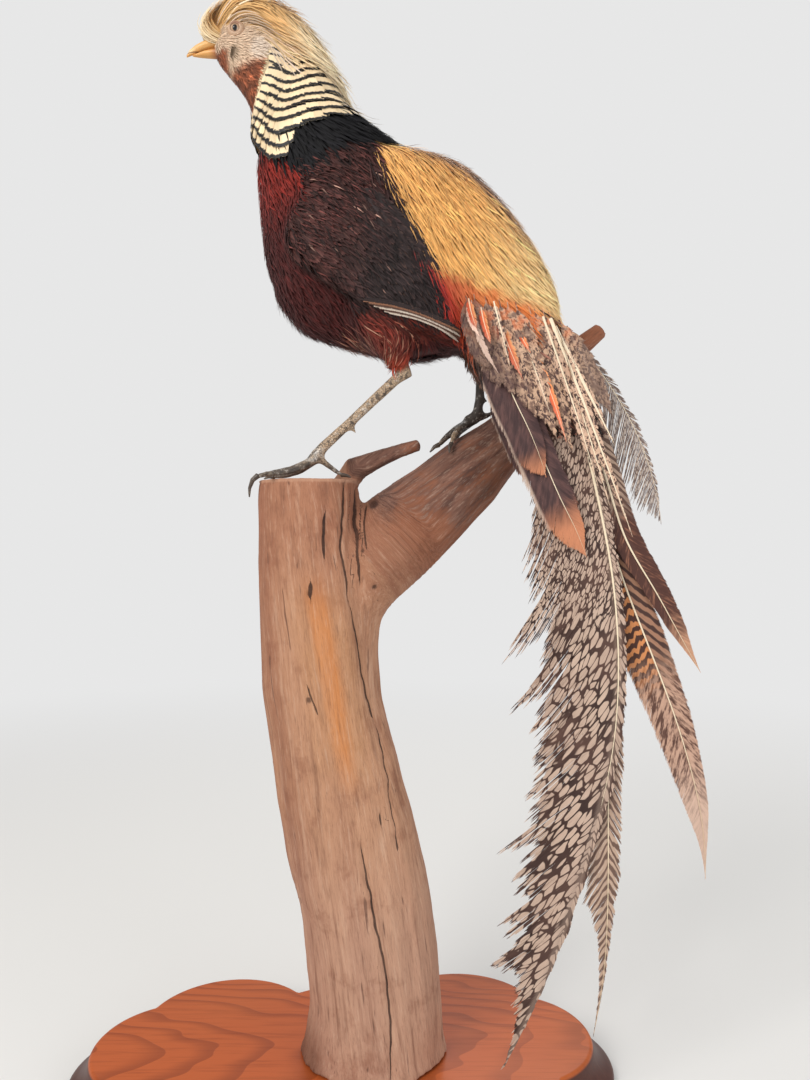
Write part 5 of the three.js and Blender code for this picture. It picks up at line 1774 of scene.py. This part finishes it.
# The main feather's tufts and waist are given by their share of the shaft. In each feather, layer is its
# distance off the tail's middle plane, and left and right are how wide its vanes are; these, the pitch
# of the barbs, the girth of the shaft and the knots are in millimetres. Tip and point shape its end.
MAIN_TUFTS = ((0.225, 0.26, 3), (0.33, 0.18, 2), (0.45, 0.05, 1), (0.52, 0.1, 1), (0.60, 0.26, 3),
              (0.66, 0.2, 2), (0.73, 0.44, 3), (0.80, 0.5, 3))
MAIN_WAIST = ((0, 0.98), (0.45, 0.94), (0.6, 0.86), (0.66, 0.77), (0.72, 0.64), (0.79, 0.48), (0.87, 0.44),
              (0.94, 0.32), (1, 0.25))
TAIL_FEATHERS = {
    "tail_lateral_left_outer": dict(
        layer=-11, left=18, right=9, tip=0.25, point=0.7, pitch=0.55, girth=0.55, slot="tail_brown",
        pattern=browned(0.45, 0.78),
        knots=((104, 562), (110, 551), (118, 529), (126, 510), (135, 492), (144, 469), (147, 458))),
    "tail_lateral_left_inner": dict(
        layer=-8.5, left=19, right=11, tip=0.3, point=0.8, pitch=0.55, girth=0.6, slot="tail_brown",
        pattern=browned(0.4, 0.66),
        knots=((124, 530), (130, 515), (139, 485), (148, 465), (158, 441), (169, 420), (176, 401))),
    "tail_central_left": dict(
        layer=-4, left=55, right=6, tip=0.2, point=0.75, pitch=0.45, girth=1.05, slot="tail_netted",
        pattern=netted(3.8, 6.2, 0.36), tufts=MAIN_TUFTS, waist=MAIN_WAIST, clump=0.03, fray=0.08, lift=0.0008,
        rings=7, overlap=3.2, bare=0.64,
        knots=((161, 545), (176, 493), (188, 434), (196, 398), (200, 340), (200, 312), (195, 256), (180, 207),
               (161, 152), (150, 124), (137, 90), (114, 53))),
    "tail_central_right": dict(
        layer=0, left=20, right=10, tip=0.4, point=0.8, pitch=0.7, girth=0.9, slot="tail_netted",
        pattern=striped, clump=0.3, fray=0.08, waist=((0, 1), (0.8, 1), (0.86, 0.5), (1, 0.4)),
        knots=((164, 530), (180, 440), (190, 390), (196, 340), (195, 297), (190, 238), (191, 206), (189, 138),
               (187, 104), (178, 66))),
    "tail_splayed_short": dict(
        layer=4, left=9, right=12, tip=0.5, point=0.75, pitch=0.5, girth=1.1, slot="tail_brown",
        pattern=buff_tipped, clump=0.06, fray=0.02, overlap=2.2,
        knots=((170, 531), (188, 479), (198, 445), (206, 414), (218, 393), (229, 376), (240, 354), (260, 317))),
    "tail_splayed_long": dict(
        layer=7, left=22, right=15, tip=0.62, point=0.85, pitch=0.5, girth=0.9, slot="tail_barred",
        pattern=barred, clump=0.08, fray=0.02, overlap=2.2,
        knots=((176, 500), (190, 442), (205, 383), (217, 354), (226, 329), (242, 286), (255, 239), (262, 204),
               (261, 171))),
    "tail_curved_covert": dict(
        layer=10, left=24, right=4, tip=0.35, point=0.8, pitch=0.8, girth=0.35, slot="tail_netted",
        pattern=dusky, clump=0.45, fray=0.16, overlap=1.1,
        knots=((166, 566), (178, 559), (192, 540), (207, 517), (219, 493), (228, 468), (233, 449), (236, 425))),
    "tail_middle_right": dict(
        layer=12.5, left=26, right=10, tip=0.3, point=0.7, pitch=0.8, girth=1.0, slot="tail_netted",
        pattern=netted(3.6, 6.6, 0.5),
        knots=((160, 520), (172, 470), (181, 420), (187, 370), (189, 320), (186, 270))),
    "tail_lateral_right_inner": dict(
        layer=15, left=19, right=12, tip=0.3, point=0.7, pitch=0.8, girth=0.6, slot="tail_brown",
        pattern=browned(0.4, 0.7),
        knots=((138, 526), (150, 490), (160, 462), (170, 432), (180, 398))),
    "tail_lateral_right_outer": dict(
        layer=17.5, left=17, right=11, tip=0.3, point=0.7, pitch=0.8, girth=0.55, slot="tail_brown",
        pattern=browned(0.4, 0.75),
        knots=((116, 545), (124, 520), (134, 496), (144, 472), (152, 452))),
}
for order, (name, made_so) in enumerate(TAIL_FEATHERS.items()):
    slot = made_so.pop("slot")
    pattern = made_so.pop("pattern")
    made_so["pitch"] *= MM
    made_so["girth"] *= MM
    mesh, widest, whole = tail_feather(name + "_plume", tint=(200, 180, 160), seed=90 + order, **made_so)
    feathered(name + "_plume", mesh, tail_finish(name, widest, whole, pattern), slot, name)

# ---------------------------------------------------------------- coverts over the tail
# Softer feathers cover the tail's root on both sides: broad mottled ones, and among them narrow
# orange-red ones with pale shafts, whose ends show below the golden rump.
COVERT_STATIONS = 14
COVERT_BEND = 8.0
BACK_COVERTS = 7


def covert_shafts(lines, side, off, sunk, first, squares, stations=COVERT_STATIONS):
    """Shafts over one side of the tail from start and end places in side view, in millimetres."""
    spines = []
    for order, (start, end, bow) in enumerate(lines):
        share = np.linspace(0, 1, stations)[:, None]
        flat = np.array(start) * (1 - share) + np.array(end) * share
        way = np.array(end) - np.array(start)
        way = way / np.linalg.norm(way)
        flat = flat + np.sin(share * math.pi) * bow * np.array([-way[1], way[0]])
        away = off + 0.9 * (order % 4) + sunk * (1 - share[:, 0]) ** 2 + 0.1 * np.maximum(0, 190 - flat[:, 0])
        if side > 0:
            away = away + 7.0
        y = tail_middle(flat[:, 1]) + side * away
        spines.append(np.stack([flat[:, 0], y, flat[:, 1]], axis=1) * MM)
    outs = np.tile(np.array([0.0, float(side), 0.0]), (len(lines), stations, 1))
    return Shafts(np.array(spines), outs, COVERT_BEND, first, squares)


def back_shafts(first, squares, stations=COVERT_STATIONS):
    """Shafts down the back edge of the tail's root, side by side."""
    share = np.linspace(0, 1, stations)
    spines = []
    for over in np.linspace(-1, 1, BACK_COVERTS):
        low = 506 + 12 * abs(over)
        z = 578 + (low - 578) * share
        x = 155 - 5 * over * over + 16 * share + 3 * np.sin(share * math.pi)
        spines.append(np.stack([x, tail_middle(z) + over * (14 + 3 * share), z], axis=1) * MM)
    outs = np.tile(unit(np.array([0.9, 0.0, 0.3])), (BACK_COVERTS, stations, 1))
    return Shafts(np.array(spines), outs, COVERT_BEND, first, squares)


# start and end of each shaft in side view, how far it bows, and its vane's half width
MOTTLED_COVERTS = (
    ((96, 590), (114, 522), -3, 9), ((104, 588), (124, 516), -2, 9), ((114, 586), (140, 500), -2, 9),
    ((126, 584), (154, 486), -2, 9), ((136, 582), (166, 476), 0, 8), ((146, 580), (178, 474), 1, 7),
    ((90, 588), (106, 535), -2, 8), ((120, 584), (134, 530), -2, 8), ((140, 580), (158, 520), 0, 8),
    ((164, 568), (196, 500), 2, 5), ((158, 572), (190, 505), 2, 5),
)
QUILLED_COVERTS = (
    ((146, 574), (184, 450), 1, 3.0), ((152, 570), (192, 436), 1, 3.2), ((154, 566), (196, 480), 0, 3.4),
    ((151, 572), (207, 415), 1, 3.6), ((126, 574), (151, 499), 0, 2.6), ((110, 584), (121, 535), 0, 2.2),
)
QUILL_GIRTHS = (0.75, 0.85, 1.7, 1.15, 0.6, 0.5)
ORANGE_COVERTS = (
    ((111, 580), (130, 527), -1, 3.4), ((131, 566), (161, 482), 2, 2.8), ((101, 580), (107, 552), -1, 2.6),
    ((92, 586), (97, 562), -1, 2.6), ((124, 574), (136, 546), -1, 2.2),
)
PALE_COVERTS = (((94, 585), (113, 530), -4, 2.2), ((92, 583), (100, 556), -3, 2.0))
MOTTLED_GREY = (150, 118, 100)
# each kind: its lines, barb pitch, shaft girth, tint, distance off the middle, and how much more at its root
COVERT_KINDS = (
    ("mottled_coverts", MOTTLED_COVERTS, 0.62, 0.36, MOTTLED_GREY, 13.0, -4.0),
    ("quilled_coverts", QUILLED_COVERTS, 0.7, QUILL_GIRTHS, MOTTLED_GREY, 16.0, -4.0),
    ("orange_coverts", ORANGE_COVERTS, 0.58, 0.5, (222, 112, 62), 16.5, -8.0),
    ("pale_coverts", PALE_COVERTS, 0.5, 0.3, (222, 190, 172), 17.0, -7.0),
)
def blots(made):
    """Irregular blots all over the object, 0 or 1 with a soft edge."""
    x, y, z = made.parts(made.spot())
    spots = made.joined(x * 480 + z * 120, y * 200, z * 300)
    return made.noise(spots, 1.0, 2.5, 0.6, 0.8).between(0.57, 0.49)


mottled = Finish("mottled_covert", Roughness=0.55)
mottled_over, mottled_along = mottled.vane()
mottled_x, _, mottled_z = mottled.parts(mottled.spot())
mottled_cloud = mottled.noise(mottled.spot(), 110.0, 3.0, 0.6)
mottled_orange = mottled_z.between(0.548, 0.57) * mottled_cloud.between(0.55, 0.4)
mottled_thread = mottled.joined(mottled_along * 26.0, mottled_over * 1.5, mottled.attribute("lot"))
mottled_thread = mottled.noise(mottled_thread, 1.0, 3.0, 0.7)
mottled.feed("Base Color", mottled.layered(
    linear(74, 48, 42),
    (blots(mottled) * 0.9, (206, 168, 138)),
    (mottled_cloud.between(0.48, 0.62) * 0.75, (92, 60, 50)),
    (mottled_orange * 0.7, (214, 120, 70)),
    ((mottled_x - mottled_z * -0.4).between(0.345, 0.325) * 0.7, (80, 52, 46)),
    (mottled_thread.between(0.5, 0.7) * 0.55, (96, 66, 56)),
    (mottled_x.between(0.165, 0.178) * 0.6, (118, 94, 82)),
))
mottled.bump(mottled_cloud, 0.0004, 0.5)
quilled = Finish("quilled_covert", Roughness=0.5)
quilled_blots = blots(quilled)
quilled.feed("Base Color", quilled.layered(
    linear(74, 48, 40),
    (quilled_blots, (206, 170, 144)),
    (quilled.attribute("quill"), CREAM_SHAFT),
))
quilled.bump(quilled_blots, 0.0003, 0.3)
silky = Finish("orange_covert", Roughness=0.5)
silky_over, silky_along = silky.vane()
silky_thread = silky.joined(silky_over * 2.0, silky_along * 9.0, silky.attribute("lot"))
silky_thread = silky.noise(silky_thread, 3.0, 3.0, 0.7)
silky.feed("Base Color", silky.layered(
    silky.attribute("tint", "Color"),
    (silky_over.between(-0.2, 0.8) * 0.6, (196, 62, 38)),
    (silky_over.between(-0.2, -0.9) * 0.6, (238, 176, 112)),
    (silky_along.between(0.6, 1.0) * 0.5, (214, 150, 126)),
    (silky_thread.between(0.45, 0.75) * 0.4, (150, 70, 44)),
    (silky.attribute("quill") * 0.7, CREAM_SHAFT),
))
silky.bump(silky_thread, 0.0003, 0.5)
downy = plumage("pale_covert", root_shade=0.0, streak=0.1)
covert_looks = {"mottled_coverts": mottled, "quilled_coverts": quilled, "orange_coverts": silky,
                "pale_coverts": downy}
covert_cut = {"fray": 0.08, "clump": 0.3, "lift": 0.0006, "reach": vane_outline(0.45, 0.7, 0.1), "overlap": 1.8}
for kind, lines, pitch, girth, tint, off, sunk in COVERT_KINDS:
    meshes = []
    squares = math.ceil(math.sqrt(2 * len(lines) + BACK_COVERTS))
    for side in (-1, 1):
        shafts = covert_shafts([line[:3] for line in lines], side, off, sunk, len(lines) * (side > 0), squares)
        half = np.array([line[3] for line in lines], dtype=float) * MM
        tints = varied(np.tile(np.array(tint, dtype=float), (len(lines), 1)), 120, 0.1)
        meshes.append(barbed(kind, shafts, (half, half), int(75 / pitch), tip_fan(0.6, 34, 10), tints,
                             girth=np.array(girth) * MM, seed=121, **covert_cut))
    if kind == "mottled_coverts":
        shafts = back_shafts(2 * len(lines), squares)
        half = np.full(BACK_COVERTS, 7 * MM)
        tints = np.tile(np.array(tint, dtype=float), (BACK_COVERTS, 1))
        meshes.append(barbed(kind, shafts, (half, half), 84, tip_fan(0.6, 34, 10), tints,
                             girth=girth * MM, seed=122, **covert_cut))
    feathered(kind, joined_meshes(kind, meshes), covert_looks[kind], "tail_coverts")

# ---------------------------------------------------------------- eyes
# Glass eyes: a domed clear front over a pale iris and a small, upright dark pupil. The lids are
# bare skin folds round each, and run out into the skin of the face.
EYE_RADIUS = 5.6 * MM
EYE_PLACE = (EYE_MIDDLE[0], 2.4, EYE_MIDDLE[1])
PUPIL_WIDE = 1.7
PUPIL_HIGH = 2.4
LID_STEPS = 56
# distance from the eye's middle and depth of the fold's section, in millimetres
LID_SECTION = ((3.35, -2.05), (3.6, -2.75), (4.2, -3.05), (4.9, -2.8), (5.7, -1.9), (6.6, -0.4), (6.9, 1.4),
               (4.8, 2.0), (3.6, -0.9))


def across_head(mesh):
    """A mirror copy of a bmesh on the other side of the head."""
    made = bmesh.ops.duplicate(mesh, geom=mesh.verts[:] + mesh.edges[:] + mesh.faces[:])["geom"]
    verts = [item for item in made if isinstance(item, bmesh.types.BMVert)]
    faces = [item for item in made if isinstance(item, bmesh.types.BMFace)]
    for vert in verts:
        vert.co.y = 2 * HEAD_MID_Y * MM - vert.co.y
    bmesh.ops.reverse_faces(mesh, faces=faces)


def mesh_of(name, bm):
    """A mesh made from a bmesh, which is freed."""
    mesh = bpy.data.meshes.new(name)
    bm.to_mesh(mesh)
    bm.free()
    return mesh


eye_middle = Vector(EYE_PLACE) * MM
eye_bm = bmesh.new()
bmesh.ops.create_icosphere(eye_bm, subdivisions=5, radius=EYE_RADIUS)
for vert in eye_bm.verts:
    off_axis = math.hypot(vert.co.x, vert.co.z)
    if vert.co.y < 0:
        vert.co.y -= 0.5 * MM * max(0.0, 1 - (off_axis / (3.2 * MM)) ** 2) ** 2
    vert.co += eye_middle
across_head(eye_bm)
eye = Finish("glass_eye", Roughness=0.12, Coat_Weight=0.15, Coat_Roughness=0.02)
eye_x, _, eye_z = eye.parts(eye.spot())
eye_x = (eye_x - eye_middle.x) * 1000
eye_z = (eye_z - eye_middle.z) * 1000
eye_off = (eye_x * eye_x + eye_z * eye_z) ** 0.5
eye_slit_x = (eye_x - 0.2) / PUPIL_WIDE
eye_slit_z = (eye_z + 0.4) / PUPIL_HIGH
eye_slit = (eye_slit_x * eye_slit_x + eye_slit_z * eye_slit_z) ** 0.5
eye_rays = eye.noise(eye.joined(eye_x / (eye_off + 0.3), eye_z / (eye_off + 0.3), eye_off * 0.2), 5.0, 3.0, 0.7)
eye.feed("Base Color", eye.layered(
    linear(168, 138, 112),
    (eye_rays, (200, 174, 146)),
    (eye_off.between(2.4, 3.5) * 0.6, (140, 102, 76)),
    (eye_slit.between(1.5, 1.05) * 0.5, (150, 104, 70)),
    (eye_slit.between(1.08, 0.92), (16, 12, 12)),
))
feathered("eyes", mesh_of("eyes", eye_bm), eye, "eye_glass", "eye_left", "eye_right")

lid_bm = bmesh.new()
section = [lid_bm.verts.new((reach * MM, depth * MM, 0)) for reach, depth in LID_SECTION]
section_edges = [lid_bm.edges.new((one, two)) for one, two in zip(section, section[1:] + section[:1])]
bmesh.ops.spin(lid_bm, geom=section + section_edges, cent=(0, 0, 0), axis=(0, 1, 0), angle=math.tau,
               steps=LID_STEPS, use_merge=True)
bmesh.ops.remove_doubles(lid_bm, verts=lid_bm.verts, dist=1e-6)
for vert in lid_bm.verts:
    reach = math.hypot(vert.co.x, vert.co.z)
    turn = math.atan2(vert.co.z, vert.co.x)
    outer = min(max((reach / MM - 3.3) / 3.3, 0), 1)
    narrow = 1 + 0.07 * math.cos(2 * turn) - 0.05 * (math.sin(turn) > 0) * math.sin(turn)
    scale = narrow * (1 - outer) + outer
    slant = -0.25 * min(vert.co.x, 0) * outer
    crease = 0.12 * MM * math.sin(9 * reach / MM) * outer * (1 - outer)
    vert.co = Vector((vert.co.x * scale, vert.co.y + slant - crease, vert.co.z * scale))
    vert.co += Vector((eye_middle.x, 0, eye_middle.z))
across_head(lid_bm)
bmesh.ops.recalc_face_normals(lid_bm, faces=lid_bm.faces)
lid = Finish("bare_lid", Roughness=0.5)
lid_x, _, lid_z = lid.parts(lid.spot())
lid_off = (((lid_x - eye_middle.x) * 1000) ** 2 + ((lid_z - eye_middle.z) * 1000) ** 2) ** 0.5
lid_grain = lid.noise(lid.spot(), 1400.0, 3.0, 0.6)
lid_upper = (lid_z - eye_middle.z).between(0.0012, 0.0034)
lid.feed("Base Color", lid.layered(
    linear(198, 166, 138),
    (lid_grain.between(0.35, 0.7) * 0.4, (142, 100, 76)),
    (lid_upper * lid_off.between(5.6, 4.6) * 0.75, (120, 68, 44)),
    (lid_off.between(3.9, 3.55) * 0.7, (150, 112, 88)),
))
lid.bump(lid_grain, 0.0002, 0.6)
feathered("eyelids", mesh_of("eyelids", lid_bm), lid, "face_feathers")

# ---------------------------------------------------------------- bill
# A short stout horn bill, yellow above and reddish towards the gape below, with a lidded nostril
# on each side near its root and fine growth lines along it.
BILL_VOXEL = 0.42 * MM
NOSTRIL_MM = (-102.5, 798.6)


def smooth_copy(name, voxel, rounds, grow):
    """A fine, smoothed mesh of the same shape as a node, grown a little."""
    mesh = remeshed(merged_copy([name], grow), voxel)
    set_points(mesh, evened(mesh_points(mesh), mesh_edges(mesh), rounds))
    return mesh


bill_meshes = [smooth_copy(part, BILL_VOXEL, 9, 0.15 * MM) for part in ("bill_upper", "bill_lower")]
bill_mesh = joined_meshes("bill", bill_meshes)
bill = Finish("bill_horn", Roughness=0.38)
bill_x, bill_y, bill_z = bill.parts(bill.spot())
bill_line = bill.noise(bill.joined(bill_x * 60.0, bill_y * 700.0, bill_z * 700.0), 1.0, 3.0)
bill_cloud = bill.noise(bill.spot(), 160.0, 2.0)
bill_gape = bill_z - (0.7952 - (bill_x + 0.097) * -0.13)
bill_red = bill.layered(linear(216, 158, 88), (bill_x.between(-0.108, -0.098), (150, 82, 54)))
bill_slot_x = (bill_x * 1000 - NOSTRIL_MM[0]) / 2.0
bill_slot_z = (bill_z * 1000 - NOSTRIL_MM[1] - bill_slot_x * 0.3) / 0.75
bill_slot = (bill_slot_x * bill_slot_x + bill_slot_z * bill_slot_z).between(1.2, 0.7)
bill_seam = (abs(bill_gape) * 1000).between(0.45, 0.15)
bill.feed("Base Color", bill.layered(
    linear(210, 154, 84),
    (bill_cloud, (226, 178, 112)),
    (bill_x.between(-0.114, -0.1235) * 0.5, (238, 214, 170)),
    (bill_gape.between(0.0006, -0.0012), bill_red),
    (bill_x.between(-0.1015, -0.0985) * 0.8, (96, 50, 36)),
    (bill_slot * 0.85, (64, 36, 26)),
    (bill_line.between(0.5, 0.75) * 0.3, (150, 92, 48)),
    (bill_seam * 0.7, (92, 48, 34)),
))
bill.feed("Roughness", 0.34 + bill_line * 0.2)
bill.bump(bill_line * 0.3 - bill_slot * 1.5 - bill_seam, 0.0004, 0.7)
feathered("bill", bill_mesh, bill, "bill_horn", "bill_upper", "bill_lower")

# ---------------------------------------------------------------- claws
# Dark curved horn claws with paler patches, one at the end of each toe.
CLAW_VOXEL = 0.32 * MM
claw_meshes = [smooth_copy(part, CLAW_VOXEL, 6, 0.1 * MM) for part in CLAWS]
claw_mesh = joined_meshes("claws", claw_meshes)
claw = Finish("claw_horn", Roughness=0.35)
claw_line = claw.noise(claw.stretched(claw.spot(), (200.0, 900.0, 900.0)), 1.0, 3.0)
claw_cloud = claw.noise(claw.spot(), 220.0, 2.0)
claw.feed("Base Color", claw.layered(
    linear(38, 30, 27),
    (claw_line, (92, 78, 66)),
    (claw_cloud.between(0.5, 0.7) * 0.5, (150, 136, 118)),
))
claw.bump(claw_line, 0.0002, 0.5)
feathered("claws", claw_mesh, claw, "claw_horn", *CLAWS)
